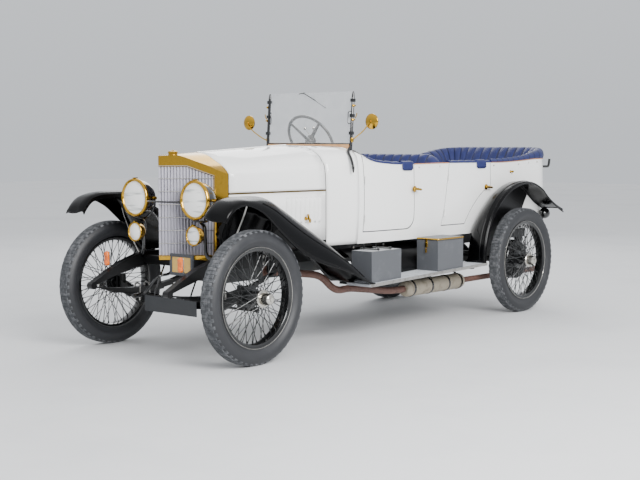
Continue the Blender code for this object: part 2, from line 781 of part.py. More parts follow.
def build_rear_axle():
    """Axle tube with its bulged drive, torque tube and two leaf springs."""
    reach = TRACK / 2 + HUB_FACE_REAR / 2 - STUB_PLAY
    tube_end = TRACK / 2 - HUB_INNER - DRUM_DEPTH + DRUM_WALL - DRUM_WALL
    bulge = DIFFERENTIAL_WIDTH / 2
    half = [(DIFFERENTIAL_RADIUS, 0.0), (DIFFERENTIAL_RADIUS, bulge / 2),
            (AXLE_TUBE_RADIUS * 2, bulge * 2), (AXLE_TUBE_RADIUS, bulge * 3),
            (AXLE_TUBE_RADIUS, tube_end), (STUB_RADIUS, tube_end), (STUB_RADIUS, reach), (0.0, reach)]
    profile = [(r, -a) for r, a in reversed(half)] + half[1:]
    tube = turned("tube", profile, (0.0, REAR_AXLE, AXLE_Z), (1, 0, 0), HUB_SEGMENTS)
    pieces = []
    seat_z = AXLE_Z + AXLE_TUBE_RADIUS - SPRING_LEAF
    front = REAR_AXLE - REAR_SPRING_FRONT
    rear = REAR_AXLE + REAR_SPRING_REAR
    for side in SIDES:
        faces = (side * RAIL_X - SPRING_WIDTH / 2, side * RAIL_X + SPRING_WIDTH / 2)
        leaf = spring(front, rear, RAIL_BOTTOM - SHACKLE_DROP, RAIL_BOTTOM - SHACKLE_DROP,
                      REAR_AXLE, seat_z)
        pieces.append(prism("spring", "side", leaf, *faces))
        for start, stop in ((front, front + SHACKLE_DROP), (rear - SHACKLE_DROP, rear)):
            pieces.append(box("shackle", faces, (start, stop),
                              (RAIL_BOTTOM - SHACKLE_DROP - SPRING_LEAF / 2, RAIL_BOTTOM - FIT)))
    nose = ENGINE_FRONT + ENGINE_LENGTH + FIT
    torque_z = ENGINE_BOTTOM + TORQUE_TUBE_RADIUS * 2
    torque = rod("torque", [(0.0, nose, torque_z), (0.0, nose + TORQUE_TUBE_RADIUS, torque_z),
                            (0.0, REAR_AXLE, AXLE_Z)], TORQUE_TUBE_RADIUS, 2)
    finish(union(tube, torque, *pieces), "rear_axle", BLACK_PAINT)


build_front_axle()
build_rear_axle()


def build_knuckles():
    """Yoke round each kingpin boss, stub axle and steering arm; built on the left."""
    half = KINGPIN_HEIGHT / 2 + FIT
    reach = half + KNUCKLE_LUG
    plate_x = KINGPIN_X + KINGPIN_RADIUS + STUB_PLAY * 5
    lugs = []
    for low, high in ((half, reach), (-reach, -half)):
        lug = turned("lug", [(0.0, low), (KINGPIN_RADIUS, low), (KINGPIN_RADIUS, high), (0.0, high)],
                     (KINGPIN_X, 0.0, AXLE_Z), (0, 0, 1), HUB_SEGMENTS)
        web = box("web", (KINGPIN_X, plate_x + KNUCKLE_PLATE / 2), (-KINGPIN_RADIUS, KINGPIN_RADIUS),
                  (AXLE_Z + low, AXLE_Z + high))
        lugs += [lug, web]
    plate = box("plate", (plate_x, plate_x + KNUCKLE_PLATE), (-KINGPIN_RADIUS, KINGPIN_RADIUS),
                (AXLE_Z - reach, AXLE_Z + reach))
    stub_end = TRACK / 2 + HUB_FACE_REAR / 2 - STUB_PLAY
    stub = turned("stub", [(0.0, plate_x), (STUB_RADIUS, plate_x), (STUB_RADIUS, stub_end),
                           (0.0, stub_end)], (0.0, 0.0, AXLE_Z), (1, 0, 0), HUB_SEGMENTS)
    arm_top = AXLE_Z - reach
    arm_z = AXLE_Z - STEER_ARM_DROP
    half_arm = STEER_ARM_WIDTH / 2
    arm = prism("arm", "side", [(-KINGPIN_RADIUS / 2, arm_top + KNUCKLE_LUG / 2),
                                (KINGPIN_RADIUS, arm_top + KNUCKLE_LUG / 2),
                                (STEER_ARM_LENGTH / 2, arm_z + STEER_ARM_THICKNESS),
                                (STEER_ARM_LENGTH, arm_z + STEER_ARM_THICKNESS),
                                (STEER_ARM_LENGTH, arm_z), (STEER_ARM_LENGTH / 3, arm_z)],
                KINGPIN_X - half_arm, KINGPIN_X + half_arm)
    end = turned("arm_end", [(0.0, 0.0), (half_arm, 0.0), (half_arm, STEER_ARM_THICKNESS),
                             (0.0, STEER_ARM_THICKNESS)],
                 (KINGPIN_X, STEER_ARM_LENGTH, arm_z), (0, 0, 1), HUB_SEGMENTS)
    knuckle = union(plate, stub, *lugs, arm, end)
    pair(knuckle, "knuckle", BLACK_PAINT, (KINGPIN_X, 0.0, AXLE_Z))


def build_tie_rod():
    """Bar under the two steering arms, with a round eye at each end."""
    top = AXLE_Z - STEER_ARM_DROP - FIT
    eyes = []
    for side in SIDES:
        eyes.append(turned("eye", [(0.0, -2 * TIE_ROD_RADIUS), (STEER_ARM_WIDTH / 2, -2 * TIE_ROD_RADIUS),
                                   (STEER_ARM_WIDTH / 2, 0.0), (0.0, 0.0)],
                           (side * KINGPIN_X, STEER_ARM_LENGTH, top), (0, 0, 1), HUB_SEGMENTS))
    level = top - TIE_ROD_RADIUS
    bar = rod("bar", [(-KINGPIN_X, STEER_ARM_LENGTH, level), (KINGPIN_X, STEER_ARM_LENGTH, level)],
              TIE_ROD_RADIUS * 0.8, 1)
    finish(union(bar, *eyes), "tie_rod", BLACK_PAINT, (KINGPIN_X, STEER_ARM_LENGTH, level))


build_knuckles()
build_tie_rod()


# Engine, radiator, starting handle
def build_engine():
    """Engine and gearbox as one plain block, carried between the rails by two pairs of arms."""
    block = box("engine", (-ENGINE_WIDTH / 2, ENGINE_WIDTH / 2),
                (ENGINE_FRONT, BONNET_REAR - OVERRUN), (ENGINE_BOTTOM, ENGINE_TOP))
    gearbox = box("gearbox", (-ENGINE_WIDTH / 3, ENGINE_WIDTH / 3),
                  (BONNET_REAR - 2 * OVERRUN, ENGINE_FRONT + ENGINE_LENGTH),
                  (ENGINE_BOTTOM, CROSS_BOTTOM + CROSS_DEPTH / 2))
    arms = box("arms", (-RAIL_INNER + FIT, RAIL_INNER - FIT),
               (ENGINE_FRONT + OVERRUN, ENGINE_FRONT + 2 * OVERRUN),
               (RAIL_BOTTOM + FIT, RAIL_TOP - FIT))
    rear_arms = cross_member("rear_arms", CROSS_GEARBOX)
    finish(union(block, gearbox, arms, rear_arms), "engine_block", GREY_STEEL)


def v_line(x, setback):
    """Distance of the radiator's V face at x, moved back by setback."""
    slope = (CORE_CORNER - RADIATOR_RIDGE) / CORE_HALF
    return RADIATOR_RIDGE + setback + abs(x) * slope


def core_window(inset):
    """Front view of the opening that the core shows in."""
    half = CORE_HALF - inset
    return [(-half, CORE_BOTTOM + inset), (half, CORE_BOTTOM + inset),
            (half, CORE_SHOULDER_Z - inset), (CORE_SHOULDER_X, CORE_TOP - inset),
            (-CORE_SHOULDER_X, CORE_TOP - inset), (-half, CORE_SHOULDER_Z - inset)]


def build_radiator():
    """Brass shell with a V front, and a core with vertical fins set into it."""
    front = RADIATOR_RIDGE - OVERRUN
    outline = [(0.0, RADIATOR_RIDGE), (CORE_HALF, CORE_CORNER), (SHELL_HALF, RADIATOR_REAR),
               (-SHELL_HALF, RADIATOR_REAR), (-CORE_HALF, CORE_CORNER)]
    column = prism("column", "plan", outline, RADIATOR_BOTTOM, BONNET_REAR_CROWN)
    crown_shares = ((1.0, 0.484), (0.88, 0.62), (0.58, 0.80), (0.32, 0.936), (0.0, 1.0))
    rise = BONNET_FRONT_CROWN - BONNET_HINGE_Z
    right = [(SHELL_HALF * across + FIT, BONNET_HINGE_Z + rise * up) for across, up in crown_shares]
    arch = [(-SHELL_HALF - FIT, RADIATOR_BOTTOM), (SHELL_HALF + FIT, RADIATOR_BOTTOM)] + right
    arch += [(-x, z) for x, z in reversed(right[:-1])]
    shell = common(column, prism("arch", "front", arch, front, RADIATOR_REAR + OVERRUN))
    back = CORE_DEPTH + FIT
    opening = [(0.0, v_line(0.0, back)), (SHELL_HALF, v_line(SHELL_HALF, back)),
               (SHELL_HALF, front), (-SHELL_HALF, front), (-SHELL_HALF, v_line(SHELL_HALF, back))]
    hollow = prism("hollow", "plan", opening, RADIATOR_BOTTOM, BONNET_REAR_CROWN)
    window = prism("window", "front", core_window(0.0), front - OVERRUN, RADIATOR_REAR)
    shell = cut(shell, common(hollow, window))
    slope_front = box("slope", (-SHELL_HALF, SHELL_HALF), (front, RADIATOR_REAR + OVERRUN),
                      (BONNET_FRONT_CROWN, BONNET_REAR_CROWN))
    tilt = math.atan2(BONNET_FRONT_CROWN - SHELL_RIDGE_TOP, RADIATOR_REAR - RADIATOR_RIDGE)
    hinge = Matrix.Translation((0.0, behind(RADIATOR_REAR), BONNET_FRONT_CROWN))
    slope_front.data.transform(hinge @ Matrix.Rotation(tilt, 4, "X") @ hinge.inverted())
    shell = cut(shell, slope_front)
    cap_place = (RADIATOR_RIDGE + CORE_CORNER) / 2
    cap = turned("cap", [(0.0, -FILLER_HEIGHT), (FILLER_RADIUS, -FILLER_HEIGHT),
                         (FILLER_RADIUS, FILLER_HEIGHT * 0.7), (FILLER_RADIUS * 0.7, FILLER_HEIGHT),
                         (0.0, FILLER_HEIGHT)],
                 (0.0, cap_place, SHELL_RIDGE_TOP + FIT), (0, 0, 1), HUB_SEGMENTS)
    finish(union(shell, cap), "radiator_shell", BRASS)

    pitch = CORE_HALF / FINS_A_SIDE
    right_face = []
    for fin in range(FINS_A_SIDE):
        start = fin * pitch
        groove = start + pitch / 2
        right_face += [(start, v_line(start, 0.0)), (groove, v_line(groove, 0.0)),
                       (groove, v_line(groove, FIN_DEPTH)),
                       (start + pitch, v_line(start + pitch, FIN_DEPTH))]
    rear = CORE_DEPTH
    left_face = [(-x, y) for x, y in reversed(right_face[1:])]
    face = left_face + right_face
    face += [(CORE_HALF, v_line(CORE_HALF, rear)), (0.0, v_line(0.0, rear)),
             (-CORE_HALF, v_line(CORE_HALF, rear))]
    core = prism("core", "plan", face, RADIATOR_BOTTOM, BONNET_REAR_CROWN)
    inside = prism("inside", "front", core_window(FIT), front - OVERRUN, RADIATOR_REAR + OVERRUN)
    finish(common(core, inside), "radiator_core", CORE_METAL)


def build_starting_handle():
    arm = HANDLE_ARM / math.sqrt(2)
    front_face = CROSS_FRONT - CROSS_WIDTH / 2 - FIT
    level = CROSS_BOTTOM + CROSS_DEPTH / 2
    finish(rod("starting_handle", [(0.0, front_face, level),
                                   (0.0, front_face - HANDLE_RADIUS * 4, level),
                                   (0.0, front_face - HANDLE_RADIUS * 7, HANDLE_Z),
                                   (0.0, HANDLE_FRONT, HANDLE_Z),
                                   (-arm, HANDLE_FRONT, HANDLE_Z - arm),
                                   (-arm, HANDLE_FRONT - HANDLE_GRIP, HANDLE_Z - arm)],
               HANDLE_RADIUS, 1), "starting_handle", BLACK_PAINT)


build_engine()
build_radiator()
build_starting_handle()


# Bonnet: shares of half width and of height above the side hinge, from crown to hinge
CROWN_SHARES_FRONT = ((0.0, 1.0), (0.32, 0.936), (0.58, 0.80), (0.88, 0.62), (1.0, 0.484),
                      (1.0, 0.0))
CROWN_SHARES_REAR = ((0.0, 1.0), (0.49, 0.95), (0.73, 0.85), (0.90, 0.65), (0.985, 0.33),
                     (1.0, 0.0))


def crown_arch(shares, half, crown, base):
    """Right half of an arch from its crown down to base."""
    return [(half * across, base + (crown - base) * up) for across, up in shares]


def build_bonnet():
    front = RADIATOR_REAR + BONNET_GAP
    rear = BONNET_REAR - BONNET_GAP
    arches = ((front, crown_arch(CROWN_SHARES_FRONT, BONNET_FRONT_HALF, BONNET_FRONT_CROWN,
                                 BONNET_HINGE_Z)),
              (rear, crown_arch(CROWN_SHARES_REAR, BONNET_REAR_HALF, BONNET_REAR_CROWN,
                                BONNET_HINGE_Z)))
    lift = HINGE_ROD_RADIUS + FIT
    rings = [[(max(x, lift), y, z - BONNET_SHEET / 2) for x, z in arch] for y, arch in arches]
    for ring in rings:
        x, y, _ = ring[-1]
        ring[-1] = (x - BONNET_SHEET / 2, y, BONNET_HINGE_Z + lift)
    top = loft("bonnet_top", rings, loop=False, sheet=BONNET_SHEET)
    pivot = (0.0, (front + rear) / 2, (BONNET_FRONT_CROWN + BONNET_REAR_CROWN) / 2)
    pair(top, "bonnet_top", WHITE_PAINT, pivot)

    inset = BONNET_SHEET / 2
    side_rings = [[(arch[-1][0] - inset, y, BONNET_HINGE_Z), (arch[-1][0] - inset, y, BONNET_BOTTOM)]
                  for y, arch in arches]
    side = loft("bonnet_side", side_rings, loop=False, sheet=BONNET_SHEET)
    strip = rod("strip", [(ring[0][0] + inset, ring[0][1], BONNET_HINGE_Z) for ring in side_rings],
                HINGE_ROD_RADIUS, 1)
    louvres = []
    slope = (BONNET_REAR_HALF - BONNET_FRONT_HALF) / (rear - front)
    for number in range(LOUVRES):
        place = rear - LOUVRE_REAR - number * LOUVRE_PITCH
        skin = BONNET_FRONT_HALF + (place - front) * slope
        louvres.append(prism("louvre", "plan", [(skin - BONNET_SHEET, place), (skin + LOUVRE_DEPTH, place),
                                                (skin - BONNET_SHEET, place + LOUVRE_WIDTH * 2)],
                             BONNET_BOTTOM + LOUVRE_PITCH, BONNET_BOTTOM + LOUVRE_PITCH + LOUVRE_HEIGHT))
    side = union(side, strip, *louvres)
    hinge_x = (BONNET_FRONT_HALF + BONNET_REAR_HALF) / 2
    pair(side, "bonnet_side", WHITE_PAINT, (hinge_x, (front + rear) / 2, BONNET_HINGE_Z))


build_bonnet()


# Body plan: shares of the length from bonnet to tail, and of the greatest half width
PLAN_SHARES = ((0.0, COWL_SHARE), (0.094, 0.834), (0.197, 0.907), (0.312, 0.934), (0.428, 0.937),
               (0.559, 0.975), (0.690, 1.0), (0.800, 1.0))
# Wall top: shares of the same length, and of the wall's height
TOP_SHARES = ((0.0, 1.16), (0.094, 1.14), (0.130, 1.06), (0.197, 1.012), (0.312, 1.0), (0.428, 1.004),
              (0.690, 0.997), (0.800, 1.012), (0.901, 1.035), (1.0, 1.035))
# Wall section: shares of its height, and of the belly by which it bulges out
SECTION_SHARES = ((0.0, -1.0), (0.14, -0.3), (0.45, 0.4), (0.80, 0.2), (1.0, 0.0))
BODY_LENGTH = TAIL - BONNET_REAR
BODY_HEIGHT = BODY_TOP - BODY_BOTTOM


def along_body(share):
    return BONNET_REAR + share * BODY_LENGTH


PLAN_TABLE = [(along_body(place), BODY_HALF * width) for place, width in PLAN_SHARES]
TOP_TABLE = [(along_body(place), BODY_BOTTOM + BODY_HEIGHT * up) for place, up in TOP_SHARES]


def body_half(distance):
    return between(PLAN_TABLE, distance)


def wall_top(distance):
    return between(TOP_TABLE, distance)


def wall_line(start, stop):
    """Plan points of the left wall between two distances, at every table row."""
    rows = sorted({place for place, _ in PLAN_TABLE + TOP_TABLE})
    places = [place for place in rows if start + OVERRUN / 2 < place < stop - OVERRUN / 2]
    return [(body_half(place), place) for place in (start, *places, stop)]


def body_path(start):
    """Plan of the left wall from start round to the tail's middle: (x, distance) points."""
    corner_y = TAIL - TAIL_CORNER
    path = wall_line(start, corner_y)
    steps = 6
    centre_x = BODY_HALF - TAIL_CORNER
    for step in range(1, steps + 1):
        angle = step * math.pi / 2 / steps
        path.append((centre_x + TAIL_CORNER * math.cos(angle), corner_y + TAIL_CORNER * math.sin(angle)))
    path.append((0.0, TAIL))
    return path


def offset_path(path, out):
    """The path moved out along its normals; the two ends keep straight ahead."""
    moved = []
    for i, (x, y) in enumerate(path):
        before = path[max(i - 1, 0)]
        after = path[min(i + 1, len(path) - 1)]
        if x == 0.0:
            before, after = (x, y), (x - 1.0, y)
        run = Vector((after[0] - before[0], after[1] - before[1])).normalized()
        moved.append((x + run.y * out, y - run.x * out))
    return moved


def whole_path(half):
    """Left half path continued round the right side."""
    return half + [(-x, y) for x, y in reversed(half[:-1])]


def build_body_shell():
    """The tub's wall as one bent sheet, open at the front and the top."""
    path = body_path(COCKPIT_FRONT)
    inner = BODY_WALL
    rings = []
    outs = [offset_path(path, BODY_BELLY * bulge) for _, bulge in SECTION_SHARES]
    ins = [offset_path(path, BODY_BELLY * bulge - inner) for _, bulge in SECTION_SHARES]
    for i, (_, place) in enumerate(path):
        top = wall_top(place)
        height = top - BODY_BOTTOM
        levels = [BODY_BOTTOM + height * up for up, _ in SECTION_SHARES]
        outer = [(outs[k][i][0], outs[k][i][1], levels[k]) for k in range(len(levels))]
        inside = [(ins[k][i][0], ins[k][i][1], levels[k]) for k in reversed(range(len(levels)))]
        rings.append(outer + inside)
    right = [[(-x, y, z) for x, y, z in ring] for ring in reversed(rings[:-1])]
    return loft("shell", rings + right)


def round_corner(rear, low):
    """Quarter circle from a door's rear edge into its lower edge."""
    steps = 4
    angles = [step * math.pi / 2 / steps for step in range(steps + 1)]
    return [(rear - DOOR_CORNER * (1 - math.cos(a)), low + DOOR_CORNER * (1 - math.sin(a))) for a in angles]


def wing_corner(rear, low, grow):
    """Arc that follows the rear wing from a door's rear edge into its lower edge."""
    radius = REAR_FENDER_RADIUS + DOOR_WING_GAP - grow
    start = math.acos((rear - REAR_FENDER_CENTRE) / radius)
    stop = math.pi - math.asin((low - REAR_FENDER_CENTRE_Z) / radius)
    steps = 4
    angles = [start + (stop - start) * step / steps for step in range(steps + 1)]
    return [(REAR_FENDER_CENTRE + radius * math.cos(a), REAR_FENDER_CENTRE_Z + radius * math.sin(a))
            for a in angles]


def door_outline(name, front, rear, slant, grow):
    """Side view of a door, from its front top corner round its rear and lower edges."""
    high = BODY_TOP + ROLL_HEIGHT + 2 * OVERRUN
    rise = (high - DOOR_BOTTOM) / (BODY_TOP - DOOR_BOTTOM)
    low = DOOR_BOTTOM - grow * SILL_SHARE
    if name == "front":
        lower = round_corner(rear + grow, low)
    else:
        lower = wing_corner(rear + grow, low, grow)
    return [(front - grow + slant * rise, high), (rear + grow, high)] + lower + [(front - grow, low)]


DOORS = (("front", FRONT_DOOR_FRONT, FRONT_DOOR_REAR, 0.0),
         ("rear", REAR_DOOR_FRONT, REAR_DOOR_REAR, REAR_DOOR_SLANT))
HINGE_SHARES = (0.20, 0.78)


def hinge_point(front, slant, z, grow=0.5):
    """A point of a door's hinge line at height z; it stands off the widest bulge."""
    rise = (z - DOOR_BOTTOM) / (BODY_TOP - DOOR_BOTTOM)
    y = front - DOOR_GAP * grow + slant * rise
    x = body_half(front + slant) + BODY_BELLY / 2 + HINGE_RADIUS + 2 * STUB_PLAY
    return Vector((x, y, z))


def hinge_set(front, slant, on_door):
    """The barrels and leaves of a door's two hinges, for the door or for the body."""
    pieces = []
    top = hinge_point(front, slant, BODY_TOP)
    bottom = hinge_point(front, slant, DOOR_BOTTOM)
    run = (top - bottom).normalized()
    for share in HINGE_SHARES:
        middle = bottom + (top - bottom) * share
        start = middle + run * (FIT if not on_door else -HINGE_LENGTH)
        stop = middle + run * (HINGE_LENGTH if not on_door else 0.0)
        pieces.append(rod("barrel", [tuple(start), tuple(stop)], HINGE_RADIUS, 1))
        toward = HINGE_LEAF if on_door else -HINGE_LEAF
        low, high = sorted((start.z, stop.z))
        low, high = low + HINGE_RADIUS / 3, high - HINGE_RADIUS / 3
        outline = [(start.y, low), (start.y + toward, low), (stop.y + toward, high), (stop.y, high)]
        pieces.append(prism("leaf", "side", outline,
                            start.x - HINGE_RADIUS - BODY_BELLY - HINGE_INSET, start.x))
    return union(*pieces)


def door_bevel(front, rear):
    """Wedge under a door's inner lower edge, which dips as the leaning hinge line turns."""
    outer = body_half(front)
    rise = (outer - RAIL_X) * DOOR_BEVEL_SHARE
    outline = [(RAIL_X, DOOR_BOTTOM - OVERRUN), (outer, DOOR_BOTTOM - OVERRUN), (outer, DOOR_BOTTOM),
               (RAIL_X, DOOR_BOTTOM + rise)]
    return prism("bevel", "front", outline, front - OVERRUN, rear)


def build_tub():
    """Walls, tail and floor in one piece, with the doorways cut out; then the doors."""
    shell = build_body_shell()
    doors = []
    for name, front, rear, slant in DOORS:
        blank = prism("blank", "side", door_outline(name, front, rear, slant, 0.0),
                      RAIL_X, BODY_HALF + 2 * OVERRUN)
        door = cut(common(copy_of(shell, "door"), blank), door_bevel(front, rear))
        doors.append((name, front, slant, door))
    ways = []
    for name, front, rear, slant in DOORS:
        for side in SIDES:
            ways.append(prism("way", "side", door_outline(name, front, rear, slant, DOOR_GAP),
                              side * RAIL_X, side * (BODY_HALF + 2 * OVERRUN)))
    tub = cut(shell, *ways)
    middle = offset_path(body_path(COCKPIT_FRONT), -BODY_BELLY - BODY_WALL / 2)
    floor = prism("floor", "plan", whole_path(middle), RAIL_TOP + FIT, RAIL_TOP + FIT + FLOOR_THICKNESS)
    fixed = []
    for name, front, rear, slant in DOORS:
        hinges = hinge_set(front, slant, False)
        fixed += [hinges, mirrored(hinges, "hinges")]
    finish(union(tub, floor, *fixed), "body_tub", WHITE_PAINT)
    for name, front, slant, door in doors:
        door = union(door, hinge_set(front, slant, True))
        pivot = hinge_point(front, slant, DOOR_BOTTOM)
        pair(door, "door_" + name, WHITE_PAINT, tuple(pivot))


def build_scuttle():
    """Cowl from the bonnet to the cockpit, with its bulkhead and dash."""
    base = BODY_BOTTOM
    rear = COCKPIT_FRONT - FIT

    def ring(place, shares, half, crown, hinge, inset):
        arch = crown_arch(shares, half - inset, crown - inset, hinge)
        arch.append((half - inset, base - inset))
        left = [(x, place, z) for x, z in arch]
        return left + [(-x, y, z) for x, y, z in reversed(left[1:])]

    rear_half = body_half(COCKPIT_FRONT)
    front_ring = (CROWN_SHARES_REAR, BONNET_REAR_HALF, BONNET_REAR_CROWN, BONNET_HINGE_Z)
    rear_ring = (CROWN_SHARES_REAR, rear_half, SCUTTLE_CROWN, BONNET_HINGE_Z)
    outer = loft("cowl", [ring(BONNET_REAR, *front_ring, 0.0), ring(rear, *rear_ring, 0.0)])
    wall = SCUTTLE_WALL
    room = loft("room", [ring(BONNET_REAR + wall, *front_ring, wall),
                         ring(rear + OVERRUN, *rear_ring, wall)])
    cowl = cut(outer, room)
    dash = prism("dash", "front", [(x, z) for x, _, z in ring(rear, *rear_ring, wall / 2)
                                   if z > BONNET_HINGE_Z], rear - wall, rear)
    cowl = union(cowl, dash)
    column = steering_bar("column_hole", COLUMN_RADIUS + COLUMN_PLAY, -COLUMN_LENGTH - OVERRUN, 0.0)
    slope = (BONNET_REAR_CROWN - BONNET_FRONT_CROWN) / (BONNET_REAR - RADIATOR_REAR - 2 * BONNET_GAP)
    root = BONNET_REAR + wall / 2
    tip = RADIATOR_REAR + FIT
    hinge_rod = rod("hinge_rod", [(0.0, tip, BONNET_FRONT_CROWN - BONNET_GAP * slope),
                                  (0.0, root, BONNET_REAR_CROWN + (BONNET_GAP + wall / 2) * slope)],
                    HINGE_ROD_RADIUS, 1)
    finish(union(cut(cowl, column), hinge_rod), "scuttle", WHITE_PAINT)


# Steering wheel and column
STEERING_AXIS = Vector((0.0, math.cos(STEERING_SLOPE), math.sin(STEERING_SLOPE)))


def steering_place(along):
    """A point of the column's axis; along is measured up from the wheel's centre."""
    centre = Vector((STEERING_X, STEERING_HUB, STEERING_Z))
    return tuple(centre + STEERING_AXIS * along)


def steering_bar(name, radius, start, stop):
    return turned(name, [(0.0, start), (radius, start), (radius, stop), (0.0, stop)],
                  steering_place(0.0), STEERING_AXIS, HUB_SEGMENTS)


def build_steering():
    """Four-spoke wheel on its boss, and the column tube that it turns on."""
    boss_depth = 3 * STEERING_RIM
    centre = steering_place(0.0)
    ring = [(STEERING_RADIUS + STEERING_RIM * math.cos(a), STEERING_RIM * math.sin(a))
            for a in (i * math.tau / 6 for i in range(6))]
    rim = turned("rim", ring, centre, STEERING_AXIS, WHEEL_SEGMENTS, closed=True)
    boss = turned("boss", [(0.0, -boss_depth), (COLUMN_RADIUS * 1.6, -boss_depth),
                           (COLUMN_RADIUS * 1.6, STEERING_RIM / 2), (COLUMN_RADIUS, STEERING_RIM),
                           (0.0, STEERING_RIM)], centre, STEERING_AXIS, HUB_SEGMENTS)
    across = Vector((1.0, 0.0, 0.0))
    upward = STEERING_AXIS.cross(across)
    spokes = []
    hub = Vector(centre)
    for direction in (across, upward):
        ends = [hub + direction * STEERING_RADIUS * sign for sign in (-1, 1)]
        sunk = STEERING_AXIS * (boss_depth / 2)
        line = [ends[0], hub - direction * COLUMN_RADIUS - sunk, hub + direction * COLUMN_RADIUS - sunk,
                ends[1]]
        spokes.append(rod("spoke", [tuple(p) for p in line], STEERING_SPOKE, 1))
    finish(union(rim, boss, *spokes), "steering_wheel", BLACK_PAINT, centre)
    start = -boss_depth - FIT
    column = steering_bar("column", COLUMN_RADIUS, -COLUMN_LENGTH, start)
    finish(column, "steering_column", BLACK_PAINT)


build_tub()
build_scuttle()
build_steering()


# Leather rolls and seats
def roll(name, path, tip=0.0, rise=None):
    """A padded roll on the wall top along a plan path, thin at its tip."""
    outs = offset_path(path, 0.0)
    inner = offset_path(path, -BODY_WALL)
    round_shares = ((0.46, 0.0), (0.50, 0.45), (0.36, 0.85), (0.0, 1.0), (-0.36, 0.85),
                    (-0.50, 0.45), (-0.46, 0.0))
    rings = []
    first = path[0][1]
    for i, (_, place) in enumerate(path):
        grown = 1.0
        if tip:
            grown = min(1.0, 0.25 + 0.75 * (place - first) / tip)
        centre = Vector((*outs[i], 0.0)).lerp(Vector((*inner[i], 0.0)), 0.5)
        normal = (Vector((*outs[i], 0.0)) - Vector((*inner[i], 0.0))).normalized()
        height = ROLL_HEIGHT * grown + (rise(place) if rise else 0.0)
        base = wall_top(place) + FIT
        ring = []
        for across, up in round_shares:
            spot = centre + normal * (across * ROLL_WIDTH)
            ring.append((spot.x, spot.y, base + height * up))
        rings.append(ring)
    return loft(name, rings)


def rear_rise(place):
    """Extra height of the rear roll, growing toward the tail."""
    share = (place - REAR_DOOR_REAR) / (TAIL - REAR_DOOR_REAR)
    return REAR_ROLL_RISE * min(max(share * 1.6 - 0.2, 0.0), 1.0)


def dense(path, step):
    """The path with long runs divided."""
    fine = [path[0]]
    for (x0, y0), (x1, y1) in zip(path, path[1:]):
        parts = max(1, round(math.hypot(x1 - x0, y1 - y0) / step))
        fine += [(x0 + (x1 - x0) * k / parts, y0 + (y1 - y0) * k / parts) for k in range(1, parts + 1)]
    return fine


def seat_block(name, front, rear, low, high, inset):
    """A block that follows the tub's inner walls in plan."""
    half = [(body_half(front) - inset, front)]
    half += [(width - inset, place) for place, width in PLAN_TABLE if front < place < rear]
    half.append((body_half(rear) - inset, rear))
    return prism(name, "plan", half + [(-x, y) for x, y in reversed(half)], low, high)


def seat_back(name, front, rear, low, high, inset):
    """A raked back: a slab that leans rearward by the seat rake."""
    half = body_half(front) - inset
    outline = [(front, low), (rear, low), (rear + SEAT_RAKE, high), (front + SEAT_RAKE, high)]
    return prism(name, "side", outline, -half, half)


def build_leather():
    inset = BODY_WALL + BODY_BELLY + SEAT_CLEAR
    step = ROLL_TIP / 2
    front_roll = roll("roll", dense(wall_line(FRONT_DOOR_FRONT, FRONT_DOOR_REAR), step), ROLL_TIP)
    pivot = hinge_point(FRONT_DOOR_FRONT, 0.0, DOOR_BOTTOM)
    pair(front_roll, "roll_front", BLUE_LEATHER, tuple(pivot))
    roll_level = wall_top(REAR_DOOR_FRONT) + ROLL_HEIGHT
    lean_share = (roll_level - DOOR_BOTTOM) / (BODY_TOP - DOOR_BOTTOM)
    rear_front = REAR_DOOR_FRONT + REAR_DOOR_SLANT * lean_share
    rear_roll = roll("roll", dense(wall_line(rear_front, REAR_DOOR_REAR), step))
    pivot = hinge_point(REAR_DOOR_FRONT, REAR_DOOR_SLANT, DOOR_BOTTOM)
    pair(rear_roll, "roll_rear", BLUE_LEATHER, tuple(pivot))

    floor_top = RAIL_TOP + FLOOR_THICKNESS + 2 * FIT
    post = roll("post", wall_line(FRONT_DOOR_REAR + DOOR_GAP,
                                  REAR_DOOR_FRONT + REAR_DOOR_SLANT - DOOR_GAP))
    posts = [post, mirrored(post, "post")]
    cushion = seat_block("cushion", FRONT_SEAT_FRONT, FRONT_SEAT_BACK, floor_top, CUSHION_TOP, inset)
    back_top = wall_top(FRONT_SEAT_BACK) + ROLL_HEIGHT
    back = seat_back("back", FRONT_SEAT_BACK - FRONT_BACK_THICKNESS, FRONT_SEAT_BACK, floor_top,
                     back_top, inset)
    wide = body_half(FRONT_SEAT_BACK) - BODY_WALL / 2
    shelf = box("shelf", (-wide, wide),
                (FRONT_SEAT_BACK - FRONT_BACK_THICKNESS / 2, FRONT_SEAT_BACK + SEAT_RAKE / 2),
                (wall_top(FRONT_SEAT_BACK) + 3 * FIT, back_top - ROLL_HEIGHT / 4))
    finish(union(cushion, back, shelf, *posts), "seat_front", BLUE_LEATHER)

    tail_path = body_path(REAR_DOOR_REAR + DOOR_GAP)
    coaming = roll("coaming", dense(whole_path(tail_path), step * 2), rise=rear_rise)
    cushion = seat_block("cushion", REAR_SEAT_FRONT, REAR_SEAT_BACK, floor_top, CUSHION_TOP, inset)
    back = seat_back("back", REAR_SEAT_BACK - 2 * SEAT_RAKE, REAR_SEAT_BACK + SEAT_RAKE, floor_top,
                     wall_top(TAIL) + ROLL_HEIGHT / 4, inset + TAIL_CORNER / 3)
    ledge = prism("ledge", "plan", whole_path(offset_path(body_path(REAR_SEAT_BACK - 2 * SEAT_RAKE),
                                                         -BODY_WALL / 2)),
                  wall_top(TAIL) + 3 * FIT, wall_top(TAIL) + ROLL_HEIGHT / 2)
    finish(union(cushion, back, ledge, coaming), "seat_rear", BLUE_LEATHER)


build_leather()


# Windscreen and mirrors
def screen_y(z):
    """The screen leans back as it rises."""
    return SCREEN_Y + SCREEN_RAKE * (z - SCREEN_SILL) / (SCREEN_TOP - SCREEN_SILL)


